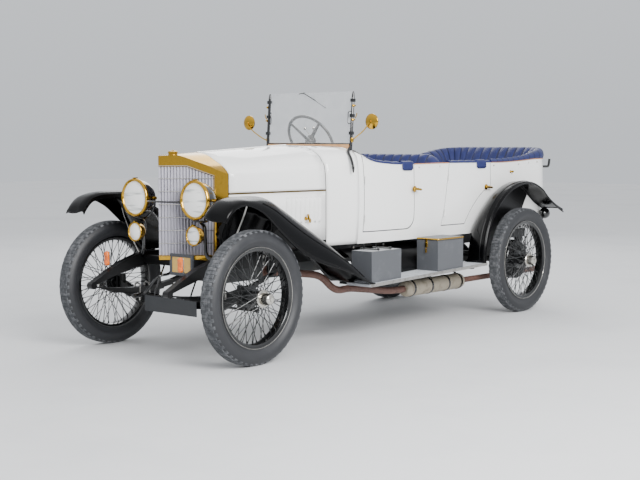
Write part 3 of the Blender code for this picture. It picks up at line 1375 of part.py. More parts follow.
def cowl_arch(distance):
    """Half width and crown height of the cowl at a distance."""
    share = (distance - BONNET_REAR) / (COCKPIT_FRONT - BONNET_REAR)
    half = BONNET_REAR_HALF + (body_half(COCKPIT_FRONT) - BONNET_REAR_HALF) * share
    return half, BONNET_REAR_CROWN + (SCUTTLE_CROWN - BONNET_REAR_CROWN) * share


def cowl_height(distance, x):
    half, crown = cowl_arch(distance)
    return BONNET_HINGE_Z + (crown - BONNET_HINGE_Z) * between(CROWN_SHARES_REAR[:-1], x / half)


def cowl_side(distance, z):
    """X of the cowl's left side at a height."""
    half, crown = cowl_arch(distance)
    side_shares = [(up, across) for across, up in reversed(CROWN_SHARES_REAR)]
    return half * between(side_shares, (z - BONNET_HINGE_Z) / (crown - BONNET_HINGE_Z))


def build_windscreen():
    foot = cowl_height(SCREEN_Y + POST_RADIUS, SCREEN_HALF - POST_RADIUS) + FIT
    posts = []
    for side in SIDES:
        x = side * SCREEN_HALF
        posts.append(rod("post", [(x, screen_y(foot), foot), (x, screen_y(SCREEN_TOP), SCREEN_TOP)],
                         POST_RADIUS, 1))
        seat = cowl_side(STAY_FOOT + POST_RADIUS, STAY_FOOT_Z) + 2 * FIT
        hip = seat + 2 * POST_RADIUS
        posts.append(rod("stay", [(x, screen_y(foot), foot + 2 * POST_RADIUS),
                                  (side * hip, (SCREEN_Y + STAY_FOOT) / 2, foot),
                                  (side * hip, STAY_FOOT, STAY_FOOT_Z),
                                  (side * seat, STAY_FOOT, STAY_FOOT_Z)], POST_RADIUS * 0.7, 1))
    bars = []
    for level in (SCREEN_SILL, SCREEN_TOP - POST_RADIUS):
        bars.append(rod("bar", [(-SCREEN_HALF, screen_y(level), level),
                                (SCREEN_HALF, screen_y(level), level)], POST_RADIUS * 0.8, 1))
    finish(union(*posts, *bars), "windscreen_frame", BLACK_PAINT)

    half = SCREEN_HALF - POST_RADIUS - FIT
    low = SCREEN_SILL + POST_RADIUS
    high = SCREEN_TOP - 2 * POST_RADIUS - FIT
    lean = SCREEN_GLASS / 2
    pane = prism("pane", "side", [(screen_y(low) - lean, low), (screen_y(low) + lean, low),
                                  (screen_y(high) + lean, high), (screen_y(high) - lean, high)], -half, half)
    finish(pane, "windscreen_glass", GLASS)

    half_width, _ = cowl_arch(SCREEN_Y)
    breaks = [half_width * across for across, _ in CROWN_SHARES_REAR if half_width * across < half]
    foot_line = [(x, cowl_height(SCREEN_Y, x) + FIT) for x in breaks + [half]]
    top = SCREEN_SILL - POST_RADIUS
    outline = foot_line + [(half, top), (-half, top)]
    outline += [(-x, z) for x, z in reversed(foot_line[1:])]
    board = prism("board", "front", outline, SCREEN_Y - SCREEN_BOARD, SCREEN_Y - 4 * FIT)
    finish(board, "windscreen_board", TAN_WOOD)

    disc = turned("disc", [(0.0, 0.0), (MIRROR_RADIUS, 0.0), (MIRROR_RADIUS, MIRROR_THICKNESS / 3),
                           (MIRROR_RADIUS * 0.6, MIRROR_THICKNESS), (0.0, MIRROR_THICKNESS)],
                  (MIRROR_X, SCREEN_Y, MIRROR_Z), (0, -1, 0), LAMP_SEGMENTS)
    root_z = SCREEN_SILL - 2 * POST_RADIUS
    arm = rod("arm", [(SCREEN_HALF + POST_RADIUS + 2 * FIT, screen_y(root_z), root_z),
                      ((SCREEN_HALF + MIRROR_X) / 2, SCREEN_Y - MIRROR_THICKNESS / 2, root_z),
                      (MIRROR_X, SCREEN_Y - MIRROR_THICKNESS / 2, MIRROR_Z - MIRROR_RADIUS * 0.8)],
              MIRROR_ARM, 1)
    pair(union(disc, arm), "mirror", BRASS)


build_windscreen()


# Wings: crown line and outer lip of the front wing as shares of its length and height
FRONT_CROWN_SHARES = ((0.0, 0.905), (0.05, 0.965), (0.13, 1.0), (0.22, 1.0), (0.31, 0.975), (0.40, 0.875),
                      (0.48, 0.775), (0.60, 0.62), (0.72, 0.455), (0.84, 0.265), (0.93, 0.10), (1.0, 0.0))
FRONT_DROP_SHARES = ((0.0, 0.06), (0.05, 0.07), (0.13, 0.08), (0.22, 0.16), (0.31, 0.30), (0.40, 0.36),
                     (0.48, 0.375), (0.60, 0.34), (0.72, 0.25), (0.84, 0.15), (0.93, 0.08), (1.0, 0.04))


def build_front_fender():
    """Long front wing: crown, rounded outer side with a lip, and an apron to the frame."""
    length = FRONT_FENDER_REAR - FRONT_FENDER_FRONT
    seat = board_z(FRONT_FENDER_REAR) + FENDER_SHEET / 2 + 2 * FIT
    end = seat + FENDER_FRONT_LIP / 3
    height = FRONT_FENDER_TOP - end
    rings = []
    for (share, up), (_, drop) in zip(FRONT_CROWN_SHARES, FRONT_DROP_SHARES):
        place = FRONT_FENDER_FRONT + share * length
        crown = end + height * up
        lip = max(crown - height * drop, board_z(place) + FENDER_SHEET / 2 + 2 * FIT)
        apron = min(max((place - APRON_START) / OVERRUN / 2, 0.0), 1.0)
        inner_foot = max(crown - FENDER_FRONT_LIP, board_z(place) + FENDER_SHEET / 2 + 2 * FIT)
        foot_z = inner_foot + (min(RAIL_TOP, inner_foot) - inner_foot) * apron
        foot_x = FENDER_INNER + (APRON_FOOT_X - FENDER_INNER) * apron
        rings.append([(foot_x, place, foot_z), (FENDER_INNER, place, crown - FENDER_FRONT_LIP / 3),
                      ((FENDER_INNER + FENDER_CROWN) / 2, place, crown),
                      ((FENDER_CROWN + FENDER_OUTER) / 2, place, crown - (crown - lip) * 0.12),
                      (FENDER_OUTER - FENDER_FRONT_LIP / 4, place, crown - (crown - lip) * 0.45),
                      (FENDER_OUTER, place, lip)])
    wing = loft("wing", rings, loop=False, sheet=FENDER_SHEET)
    pair(wing, "fender_front", BLACK_PAINT)


def build_rear_fender():
    """Rear wing: rises off the board, arches over the wheel and kicks out at its tail."""
    line = []
    centre = (REAR_FENDER_CENTRE, REAR_FENDER_CENTRE_Z)
    steps = 9
    start, stop = math.pi, math.pi / 3
    line.append((centre[0] - REAR_FENDER_RADIUS, board_z(BOARD_REAR) + 2 * FIT))
    for step in range(steps + 1):
        angle = start + (stop - start) * step / steps
        line.append((centre[0] + REAR_FENDER_RADIUS * math.cos(angle),
                     centre[1] + REAR_FENDER_RADIUS * math.sin(angle)))
    end = line[-1]
    line.append(((end[0] + REAR_FENDER_TAIL) / 2, (end[1] + REAR_FENDER_TAIL_Z) / 2 - FENDER_SHEET * 4))
    line.append((REAR_FENDER_TAIL, REAR_FENDER_TAIL_Z))
    inner = BODY_HALF + BODY_BELLY * max(bulge for _, bulge in SECTION_SHARES) + FENDER_SHEET / 2
    rings = []
    for i, (place, z) in enumerate(line):
        before = line[max(i - 1, 0)]
        after = line[min(i + 1, len(line) - 1)]
        run = Vector((after[0] - before[0], after[1] - before[1])).normalized()
        inward = Vector((run.y, -run.x))
        skirt = inward * REAR_FENDER_SKIRT
        rim = inward * (REAR_FENDER_SKIRT / 3)
        rings.append([(inner, place + skirt.x / 2, z + skirt.y / 2),
                      ((FENDER_INNER + FENDER_CROWN) / 2, place, z),
                      ((FENDER_CROWN + FENDER_OUTER) / 2, place, z),
                      (FENDER_OUTER - FENDER_FRONT_LIP / 3, place + rim.x, z + rim.y),
                      (FENDER_OUTER, place + skirt.x, z + skirt.y)])
    wing = loft("wing", rings, loop=False, sheet=FENDER_SHEET)
    pair(wing, "fender_rear", BLACK_PAINT)


build_front_fender()
build_rear_fender()


# Running boards, boxes and exhaust
def build_boards():
    """Sloping board with an apron up to the rail."""
    under = BOARD_THICKNESS
    board = prism("board", "side", [(BOARD_FRONT, board_z(BOARD_FRONT)), (BOARD_REAR, board_z(BOARD_REAR)),
                                    (BOARD_REAR, board_z(BOARD_REAR) - under),
                                    (BOARD_FRONT, board_z(BOARD_FRONT) - under)], BOARD_INNER, BOARD_OUTER)
    top = RAIL_TOP - BOARD_THICKNESS
    foot = RAIL_OUTER + FIT + VALANCE_SHEET
    front = BOARD_FRONT + 2 * OVERRUN + BOARD_THICKNESS
    rings = []
    for place in (front, BOARD_REAR):
        low = board_z(place) - under / 2
        rings.append([(BOARD_INNER, place, low), (BOARD_INNER + VALANCE_SHEET * 2, place, low),
                      (foot, place, top), (foot - VALANCE_SHEET, place, top)])
    apron = loft("apron", rings, split=True)
    pair(union(board, apron), "running_board", BOARD_GREY)


def on_board(front, rear, top):
    """Side view of a box that stands on the sloping board."""
    return [(front, board_z(front) + FIT), (rear, board_z(rear) + FIT), (rear, top), (front, top)]


def build_boxes():
    battery = prism("battery", "side", on_board(BATTERY_FRONT, BATTERY_REAR, BATTERY_TOP),
                    BATTERY_INNER, BATTERY_OUTER)
    rods = []
    for share in (0.3, 0.7):
        place = BATTERY_FRONT + (BATTERY_REAR - BATTERY_FRONT) * share
        rods.append(rod("clamp", [(BATTERY_INNER + OVERRUN / 2, place, BATTERY_TOP + BATTERY_ROD / 2),
                                  (BATTERY_OUTER - OVERRUN / 2, place, BATTERY_TOP + BATTERY_ROD / 2)],
                        BATTERY_ROD, 1))
    finish(union(battery, *rods), "battery_box", DARK_BOX)

    chest = prism("chest", "side", on_board(TOOL_FRONT, TOOL_REAR, TOOL_TOP), TOOL_INNER, TOOL_OUTER)
    room = box("room", (TOOL_INNER + TOOL_WALL, TOOL_OUTER - TOOL_WALL),
               (TOOL_FRONT + TOOL_WALL, TOOL_REAR - TOOL_WALL),
               (board_z(TOOL_REAR) + TOOL_WALL, TOOL_TOP + OVERRUN))
    finish(cut(chest, room), "tool_box", DARK_BOX)
    lid = box("lid", (TOOL_INNER, TOOL_OUTER), (TOOL_FRONT, TOOL_REAR),
              (TOOL_TOP + FIT, TOOL_TOP + TOOL_LID))
    rim = box("rim", (TOOL_INNER + TOOL_WALL, TOOL_OUTER - TOOL_WALL),
              (TOOL_FRONT + TOOL_WALL, TOOL_REAR - TOOL_WALL),
              (TOOL_TOP - OVERRUN, TOOL_TOP + TOOL_LID - TOOL_WALL))
    finish(cut(lid, rim), "tool_box_lid", DARK_BOX, ((TOOL_INNER + TOOL_OUTER) / 2, TOOL_REAR, TOOL_TOP))


def build_exhaust():
    """Down pipe from the engine's left side, silencer under the board, tail pipe and hangers."""
    root = (ENGINE_WIDTH / 2 + FIT, ENGINE_FRONT + ENGINE_LENGTH / 3, ENGINE_BOTTOM + EXHAUST_RADIUS * 2)
    start = (root[0] + EXHAUST_RADIUS, root[1], root[2])
    knee = (RAIL_X, ENGINE_FRONT + ENGINE_LENGTH / 2, ENGINE_BOTTOM + EXHAUST_RADIUS)
    pipe = rod("pipe", [root, start, knee, (SILENCER_X, knee[1] + RAIL_X, SILENCER_Z),
                        (SILENCER_X, SILENCER_FRONT + OVERRUN, SILENCER_Z)], EXHAUST_RADIUS, 2)
    silencer = turned("silencer", [(0.0, SILENCER_FRONT), (SILENCER_RADIUS * 0.7, SILENCER_FRONT),
                                   (SILENCER_RADIUS, SILENCER_FRONT + SILENCER_RADIUS / 2),
                                   (SILENCER_RADIUS, SILENCER_REAR - SILENCER_RADIUS / 2),
                                   (SILENCER_RADIUS * 0.7, SILENCER_REAR), (0.0, SILENCER_REAR)],
                      (SILENCER_X, 0.0, SILENCER_Z), (0, 1, 0), LAMP_SEGMENTS)
    tail = rod("tail", [(SILENCER_X, SILENCER_REAR - OVERRUN, SILENCER_Z),
                        (SILENCER_X, REAR_AXLE - OVERRUN * 4, SILENCER_Z),
                        (SILENCER_X, REAR_AXLE + OVERRUN * 4, SILENCER_Z),
                        (SILENCER_X, RAIL_END, SILENCER_Z)], EXHAUST_RADIUS * 0.9, 2)
    hangers = []
    for place in (SILENCER_FRONT + 2 * OVERRUN, SILENCER_REAR - OVERRUN, RAIL_END - OVERRUN / 2):
        hangers.append(rod("hanger", [(SILENCER_X, place, SILENCER_Z),
                                      (RAIL_X, place, SILENCER_Z + 2 * OVERRUN),
                                      (RAIL_X, place, RAIL_BOTTOM - FIT)], HANDLE_RADIUS, 1))
    finish(union(pipe, silencer, tail, *hangers), "exhaust", EXHAUST_STEEL)


build_boards()
build_boxes()
build_exhaust()


# Lamps: shares of depth and of radius of a bowl, from its rim to its back
BOWL_SHARES = ((0.10, 1.0), (0.22, 0.96), (0.55, 0.82), (0.86, 0.52), (1.0, 0.0))
LAMP_RIM_SHARE = 0.08


def bowl_radius(radius, share):
    """Radius of a lamp's bowl at a share of its depth."""
    return radius * (1 - LAMP_RIM_SHARE / 2) * between(BOWL_SHARES, share)


def lamp(radius, depth, centre):
    """Turned bowl with a rolled rim and a shallow seat for the lens; it faces forward."""
    rim = radius * LAMP_RIM_SHARE
    profile = [(0.0, rim), (radius - rim, rim), (radius - rim, 0.0), (radius, 0.0),
               (radius, depth * BOWL_SHARES[0][0])]
    profile += [(bowl_radius(radius, back), depth * back) for back, _ in BOWL_SHARES[1:]]
    return turned("bowl", profile, centre, (0, 1, 0), LAMP_SEGMENTS)


def bracket_arm(side):
    """Post from the frame past the side lamp's back to the fork that holds the headlamp's sides."""
    neck = LAMP_LENS + LAMP_DEPTH / 3
    under = LAMP_Z - LAMP_RADIUS - LAMP_POST
    foot = (side * RAIL_X, 0.0, between(HORN_TABLE, LAMP_POST) + FIT)
    heel = (foot[0], foot[1], foot[2] + LAMP_POST)
    back = SIDE_LAMP_LENS + SIDE_LAMP_DEPTH + LAMP_POST + FIT
    low = (side * SIDE_LAMP_X, back, SIDE_LAMP_Z - SIDE_LAMP_RADIUS / 2)
    high = (side * SIDE_LAMP_X, back, SIDE_LAMP_Z + SIDE_LAMP_RADIUS)
    post = rod("post", [foot, heel, low, high, (side * LAMP_X, neck, under)], LAMP_POST, 1)
    depth_share = (LAMP_DEPTH / 3 - LAMP_POST / 2) / LAMP_DEPTH
    touch = bowl_radius(LAMP_RADIUS, depth_share) + FIT
    reach = touch + LAMP_POST
    x = side * LAMP_X
    tip = LAMP_Z + LAMP_POST / 2
    fork = rod("fork", [(x - reach, neck, tip), (x - reach, neck, LAMP_Z - LAMP_RADIUS / 2),
                        (x - LAMP_RADIUS / 2, neck, under), (x + LAMP_RADIUS / 2, neck, under),
                        (x + reach, neck, LAMP_Z - LAMP_RADIUS / 2), (x + reach, neck, tip)],
               LAMP_POST / 2, 1)
    pins = []
    for away in SIDES:
        pins.append(rod("pin", [(x + away * reach, neck, LAMP_Z), (x + away * touch, neck, LAMP_Z)],
                        LAMP_POST / 2, 1))
    bowl_end = SIDE_LAMP_LENS + SIDE_LAMP_DEPTH + FIT
    pins.append(rod("pin", [(side * SIDE_LAMP_X, back, SIDE_LAMP_Z),
                            (side * SIDE_LAMP_X, bowl_end, SIDE_LAMP_Z)], LAMP_POST / 2, 1))
    return union(post, fork, *pins)


def build_lamps():
    """Headlamps, side lamps and the black bracket that carries all four."""
    pair(lamp(LAMP_RADIUS, LAMP_DEPTH, (LAMP_X, LAMP_LENS, LAMP_Z)), "headlamp", BRASS)
    pair(lamp(SIDE_LAMP_RADIUS, SIDE_LAMP_DEPTH, (SIDE_LAMP_X, SIDE_LAMP_LENS, SIDE_LAMP_Z)),
         "side_lamp", BRASS)
    neck = LAMP_LENS + LAMP_DEPTH / 3
    inner = LAMP_X - LAMP_RADIUS
    front = RADIATOR_RIDGE - LAMP_POST
    tie = rod("tie", [(-inner, neck, LAMP_TIE_Z), (-inner + 2 * LAMP_POST, front, LAMP_TIE_Z),
                      (inner - 2 * LAMP_POST, front, LAMP_TIE_Z), (inner, neck, LAMP_TIE_Z)],
              LAMP_POST / 2, 1)
    finish(union(tie, bracket_arm(1), bracket_arm(-1)), "lamp_bar", BLACK_PAINT)


build_lamps()

for guide in GUIDES.objects:
    guide.hide_render = True
    guide.display_type = "WIRE"
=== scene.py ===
"""A dressed 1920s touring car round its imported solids: coachwork, leather, brass, wire wheels."""
import math

import bmesh
import bpy
from mathutils import Matrix, Vector


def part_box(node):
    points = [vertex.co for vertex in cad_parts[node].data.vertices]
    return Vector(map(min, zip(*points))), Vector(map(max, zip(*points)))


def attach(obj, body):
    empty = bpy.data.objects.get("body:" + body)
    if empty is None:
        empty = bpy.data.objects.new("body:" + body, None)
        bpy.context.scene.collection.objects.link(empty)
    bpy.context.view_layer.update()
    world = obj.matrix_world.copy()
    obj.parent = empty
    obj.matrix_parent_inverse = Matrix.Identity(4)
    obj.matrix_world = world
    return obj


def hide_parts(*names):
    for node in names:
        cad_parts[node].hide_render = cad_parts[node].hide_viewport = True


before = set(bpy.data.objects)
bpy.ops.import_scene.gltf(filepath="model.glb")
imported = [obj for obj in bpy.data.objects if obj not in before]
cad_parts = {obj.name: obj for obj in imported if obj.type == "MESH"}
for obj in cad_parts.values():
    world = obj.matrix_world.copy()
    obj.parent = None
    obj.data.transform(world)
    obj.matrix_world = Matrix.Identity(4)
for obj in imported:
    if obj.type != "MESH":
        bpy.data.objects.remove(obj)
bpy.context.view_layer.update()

# The studio: a pale matt floor under an even bright sky, one broad soft lamp ahead and one behind,
# and the camera at the photograph's place and angle with a long normal lens.
FLOOR_SIZE = 60.0
SKY_STRENGTH = 1.32
LAMP_AIM = Vector((0, 0, 0.6))
# Name, place, size and watts of each lamp.
STUDIO_LAMPS = (("key", (8.0, -4.0, 5.0), 5.0, 1500.0), ("rim", (-4.5, 5.0, 5.0), 5.0, 260.0))
LENS_MM, SENSOR_MM = 68.6, 36.0
CAMERA_PLACE = (6.1718, -7.6084, 1.4803)
CAMERA_TURN = (math.radians(85.2983), 0.0, math.radians(40.2447))
PATCH_BORDER = 0.28
GRAIN_STRENGTH = 0.35


def linear(code):
    """An sRGB hex code as the linear colour that sockets take."""
    shares = [int(code[i:i + 2], 16) / 255 for i in (0, 2, 4)]
    return (*[s / 12.92 if s <= 0.04045 else ((s + 0.055) / 1.055) ** 2.4 for s in shares], 1.0)


def add(tree, kind, inputs=None, **settings):
    """A node with its settings, its inputs set to values or linked from sockets."""
    made = tree.nodes.new("ShaderNode" + kind)
    for name, value in settings.items():
        setattr(made, name, value)
    for name, value in (inputs or {}).items():
        if isinstance(value, bpy.types.NodeSocket):
            tree.links.new(value, made.inputs[name])
        else:
            made.inputs[name].default_value = value
    return made


def material(name, roughness=0.5, metallic=0.0, **sockets):
    """A new material: itself, its tree, its shader and its object coordinates."""
    made = bpy.data.materials.new(name)
    made.use_nodes = True
    tree = made.node_tree
    shader = tree.nodes["Principled BSDF"]
    shader.inputs["Roughness"].default_value = roughness
    shader.inputs["Metallic"].default_value = metallic
    for socket, value in sockets.items():
        shader.inputs[socket.replace("_", " ")].default_value = value
    return made, tree, shader, add(tree, "TexCoord").outputs["Object"]


def weathered(name, clean, worn, patch, smooth, dull, grain, depth, amount=0.5, **sockets):
    """A finish that wanders from clean to worn in patches, over a fine grain, sizes in metres.

    smooth and dull are the roughness of the clean and the worn parts, depth is the grain's height,
    and amount is how far the worn patches spread.
    """
    made, tree, shader, place = material(name, **sockets)
    wander = add(tree, "TexNoise",
                 {"Vector": place, "Scale": 1 / patch, "Detail": 8.0, "Roughness": 0.65})
    spread = add(tree, "ValToRGB", {"Fac": wander.outputs["Fac"]})
    spread.color_ramp.elements[0].position = 1.0 - amount
    spread.color_ramp.elements[1].position = min(1.0 - amount + PATCH_BORDER, 1.0)
    share = spread.outputs["Color"]
    tone = add(tree, "Mix", {"Factor": share, "A": linear(clean), "B": linear(worn)},
               data_type="RGBA")
    tree.links.new(tone.outputs["Result"], shader.inputs["Base Color"])
    gloss = add(tree, "MapRange", {"Value": share, "To Min": smooth, "To Max": dull})
    tree.links.new(gloss.outputs["Result"], shader.inputs["Roughness"])
    fine = add(tree, "TexNoise", {"Vector": place, "Scale": 1 / grain, "Detail": 3.0})
    bump = add(tree, "Bump",
               {"Height": fine.outputs["Fac"], "Strength": GRAIN_STRENGTH, "Distance": depth})
    tree.links.new(bump.outputs["Normal"], shader.inputs["Normal"])
    return made


def set_shape(shape, name, finishes, body, stands_for=(), slot=None, crease=35.0, sheet=0.0,
              round_off=0.0, divide=0):
    """A named piece from a shape, on the body that carries it; sheet metal is thickened inward."""
    mesh = bpy.data.meshes.new(name)
    shape.to_mesh(mesh)
    shape.free()
    for finish in finishes if isinstance(finishes, tuple) else (finishes,):
        mesh.materials.append(finish)
    mesh.shade_smooth()
    mesh.set_sharp_from_angle(angle=math.radians(crease))
    made = bpy.data.objects.new(name, mesh)
    bpy.context.collection.objects.link(made)
    if sheet:
        wall = made.modifiers.new("sheet", "SOLIDIFY")
        wall.thickness, wall.offset = sheet, -1.0
    if round_off:
        soft = made.modifiers.new("round", "BEVEL")
        soft.width, soft.segments, soft.limit_method = round_off, 2, "ANGLE"
        soft.harden_normals = False
    if divide:
        fine = made.modifiers.new("fine", "SUBSURF")
        fine.levels = fine.render_levels = divide
    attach(made, body)
    if stands_for:
        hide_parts(*stands_for)
    return made


world = bpy.data.worlds.new("sky")
bpy.context.scene.world = world
world.use_nodes = True
sky_tree = world.node_tree
sky_place = add(sky_tree, "TexCoord").outputs["Generated"]
sky_height = add(sky_tree, "SeparateXYZ", {"Vector": sky_place}).outputs["Z"]
sky_tone = add(sky_tree, "ValToRGB", {"Fac": sky_height})
sky_tone.color_ramp.elements[0].color = linear("c4c8cd")
sky_tone.color_ramp.elements[1].color = linear("f6f8fb")
sky_tone.color_ramp.elements[1].position = 0.7
backdrop = sky_tree.nodes["Background"]
backdrop.inputs["Strength"].default_value = SKY_STRENGTH
sky_tree.links.new(sky_tone.outputs["Color"], backdrop.inputs["Color"])

floor_shape = bmesh.new()
bmesh.ops.create_grid(floor_shape, x_segments=1, y_segments=1, size=FLOOR_SIZE / 2)
floor_mesh = bpy.data.meshes.new("studio_floor")
floor_shape.to_mesh(floor_mesh)
floor_shape.free()
# Matt floor paint: an even pale ground that takes soft shadows and shows no reflection.
floor_mesh.materials.append(weathered("floor_paint", "d3d4d5", "c9cacc", 1.5, 0.75, 0.85, 0.01,
                                      0.0004))
floor = bpy.data.objects.new("studio_floor", floor_mesh)
bpy.context.collection.objects.link(floor)

for lamp_name, lamp_place, lamp_size, power in STUDIO_LAMPS:
    light = bpy.data.lights.new(lamp_name, "AREA")
    light.size, light.energy = lamp_size, power
    holder = bpy.data.objects.new(lamp_name, light)
    holder.location = lamp_place
    holder.rotation_euler = (LAMP_AIM - Vector(lamp_place)).to_track_quat("-Z", "Y").to_euler()
    bpy.context.collection.objects.link(holder)

lens = bpy.data.cameras.new("camera")
lens.lens, lens.sensor_width = LENS_MM, SENSOR_MM
camera = bpy.data.objects.new("camera", lens)
camera.location, camera.rotation_euler = CAMERA_PLACE, CAMERA_TURN
bpy.context.collection.objects.link(camera)
bpy.context.scene.camera = camera


# Tyres: moulded black rubber with a blocked tread and plain walls, whose beads grip the rims.
# Road dust greys the tread, and the walls keep a dull sheen.
# How far each hub reaches out of the wheel, and whether the wheel carries a brake drum.
WHEELS = {"front": (0.166, False), "rear": (0.144, True)}
TYRE_STEPS = 108
BLOCK_HEIGHT, BLOCK_TAPER = 0.004, 0.0022
LUG_SHARE, LUG_TAPER = 0.8, 0.0012
TYRE_HALF_SECTION = ((0.3205, 0.0300), (0.3220, 0.0380), (0.3450, 0.0400), (0.3580, 0.0500),
                     (0.3720, 0.0600), (0.3880, 0.0650), (0.4040, 0.0640), (0.4180, 0.0590),
                     (0.4300, 0.0520), (0.4385, 0.0440), (0.4415, 0.0390), (0.4430, 0.0240),
                     (0.4435, 0.0080))
SHOULDER_RADIUS = 0.4290
TREAD_RADIUS = 0.4410

# Moulded rubber: near-black walls with a dull sheen that shows their roundness.
rubber = weathered("moulded_rubber", "232427", "323336", 0.10, 0.5, 0.66, 0.0012, 0.0002, 0.45)
# Road dust on the tread: the blocks look grey and flat against the black walls.
dusty_rubber = weathered("dusty_tread_rubber", "3f4144", "737477", 0.035, 0.85, 0.95, 0.0015,
                         0.0004, 0.55)


def spun(profile, centre, axis, steps, closed=False):
    """A turned shape: (radius, along) pairs spun round an axis through a centre."""
    shape = bmesh.new()
    direction = Vector(axis).normalized()
    side = direction.orthogonal().normalized()
    points = [shape.verts.new(Vector(centre) + side * r + direction * a) for r, a in profile]
    edges = [shape.edges.new(pair) for pair in zip(points, points[1:])]
    if closed:
        edges.append(shape.edges.new((points[-1], points[0])))
    bmesh.ops.spin(shape, geom=points + edges, cent=centre, axis=direction, angle=math.tau,
                   steps=steps, use_merge=True, use_duplicate=False)
    bmesh.ops.remove_doubles(shape, verts=shape.verts, dist=0.00001)
    bmesh.ops.recalc_face_normals(shape, faces=shape.faces)
    return shape


def mirror_image(shape):
    """The same shape on the other side of the car."""
    twin = shape.copy()
    bmesh.ops.scale(twin, vec=(-1, 1, 1), verts=twin.verts)
    bmesh.ops.reverse_faces(twin, faces=twin.faces)
    return twin


def both_sides(shape, name, finishes, body, stands_for=(), **looks):
    """A left-hand piece and its mirror image; braces in the names take left or right."""
    twins = {"left": shape, "right": mirror_image(shape)}
    return [set_shape(twins[side], name.format(side), finishes, body.format(side),
                      [node.format(side) for node in stands_for], **looks) for side in twins]


def wheel_centre(axle):
    """Centre of the left wheel of an axle."""
    low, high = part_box(f"tyre_{axle}_left")
    return (low + high) / 2


for axle in WHEELS:
    hub = wheel_centre(axle)
    section = list(TYRE_HALF_SECTION)
    section += [(r, -a) for r, a in reversed(section)]
    tyre = spun(section, hub, (1, 0, 0), TYRE_STEPS, closed=True)
    away = {face: math.hypot(face.calc_center_median().y - hub.y,
                             face.calc_center_median().z - hub.z)
            for face in tyre.faces}
    blocks = [face for face in tyre.faces if away[face] > TREAD_RADIUS]
    lugs = []
    for face in tyre.faces:
        spot = face.calc_center_median() - hub
        turn = math.atan2(spot.y, spot.z) / math.tau * TYRE_STEPS
        if SHOULDER_RADIUS < away[face] <= TREAD_RADIUS and math.floor(turn) % 2:
            lugs.append(face)
    for face in blocks + lugs:
        face.material_index = 1
    bmesh.ops.inset_individual(tyre, faces=blocks, thickness=BLOCK_TAPER, depth=BLOCK_HEIGHT)
    bmesh.ops.inset_individual(tyre, faces=lugs, thickness=LUG_TAPER,
                               depth=BLOCK_HEIGHT * LUG_SHARE)
    both_sides(tyre, f"tread_tyre_{axle}_" + "{}", (rubber, dusty_rubber), axle + "_wheel_{}",
               (f"tyre_{axle}_" + "{}",), slot="tyre_rubber")


# Wire wheels: a rolled steel rim, two rows of crossed wire spokes with nipples, and a hub, all
# stove-enamelled black, with a nickel rim edge and a turned nickel hub cap. The rear wheels also
# carry brake drums.
RIM_SECTION = ((0.3350, -0.0425), (0.3340, -0.0388), (0.3215, -0.0380), (0.3200, -0.0300),
               (0.3200, 0.0300), (0.3215, 0.0380), (0.3340, 0.0388), (0.3350, 0.0425),
               (0.3310, 0.0435), (0.3180, 0.0400), (0.3090, 0.0340), (0.3040, 0.0200),
               (0.3030, 0.0000), (0.3040, -0.0200), (0.3090, -0.0340), (0.3180, -0.0400),
               (0.3310, -0.0435))
# Foot radius, foot and head along the axle (0 for the hub's nose), pairs and phase of each row.
SPOKE_ROWS = ((0.074, -0.032, -0.014, 20, 0.0), (0.056, 0.0, 0.012, 16, 0.35))
SPOKE_LEAN = math.radians(34)
SPOKE_WIRE, NIPPLE_SHARE = 0.0026, 1.7
SPOKE_SEAT = 0.3045
NIPPLE_LENGTH = 0.016
DRUM_RADIUS = 0.165

# Stove enamel: deep black with small sharp highlights, duller where dust lies.
enamel = weathered("black_stove_enamel", "08090a", "1c1d1f", 0.08, 0.22, 0.42, 0.004, 0.00004, 0.42,
                   Coat_Weight=0.4, Coat_Roughness=0.1)
# Nickel plate: a warm pale shine that picks out rim edges and hub caps.
nickel = weathered("nickel_plate", "c9c6bf", "9c9890", 0.03, 0.16, 0.34, 0.002, 0.00003, 0.5,
                   metallic=1.0)


def joined(*shapes):
    """Several shapes as one."""
    whole = bmesh.new()
    for shape in shapes:
        mesh = bpy.data.meshes.new("part")
        shape.to_mesh(mesh)
        shape.free()
        whole.from_mesh(mesh)
        bpy.data.meshes.remove(mesh)
    return whole


def oval(radius, along, wide, deep, steps):
    """An oval section for spun, as (radius, along) pairs."""
    return [(radius + wide * math.cos(a), along + deep * math.sin(a))
            for a in (k * math.tau / steps for k in range(steps))]


def wires(spans, radius, sides=6):
    """Straight round wires between pairs of points."""
    shape = bmesh.new()
    for start, stop in spans:
        run = Vector(stop) - Vector(start)
        aim = run.to_track_quat("Z", "X").to_matrix().to_4x4()
        bmesh.ops.create_cone(shape, cap_ends=True, segments=sides, radius1=radius, radius2=radius,
                              depth=run.length,
                              matrix=Matrix.Translation((Vector(start) + Vector(stop)) / 2) @ aim)
    return shape


def spoke_spans(hub, foot_radius, foot_along, head_along, pairs, phase):
    """One row of crossed spokes: each pair leans both ways from the hub flange to the rim."""
    spans = []
    for number in range(pairs):
        for lean in (SPOKE_LEAN, -SPOKE_LEAN):
            angle = (number + phase + (0.0 if lean > 0 else 0.45)) * math.tau / pairs
            spans.append((hub + Vector((foot_along, foot_radius * math.cos(angle + lean),
                                        foot_radius * math.sin(angle + lean))),
                          hub + Vector((head_along, SPOKE_SEAT * math.cos(angle),
                                        SPOKE_SEAT * math.sin(angle)))))
    return spans


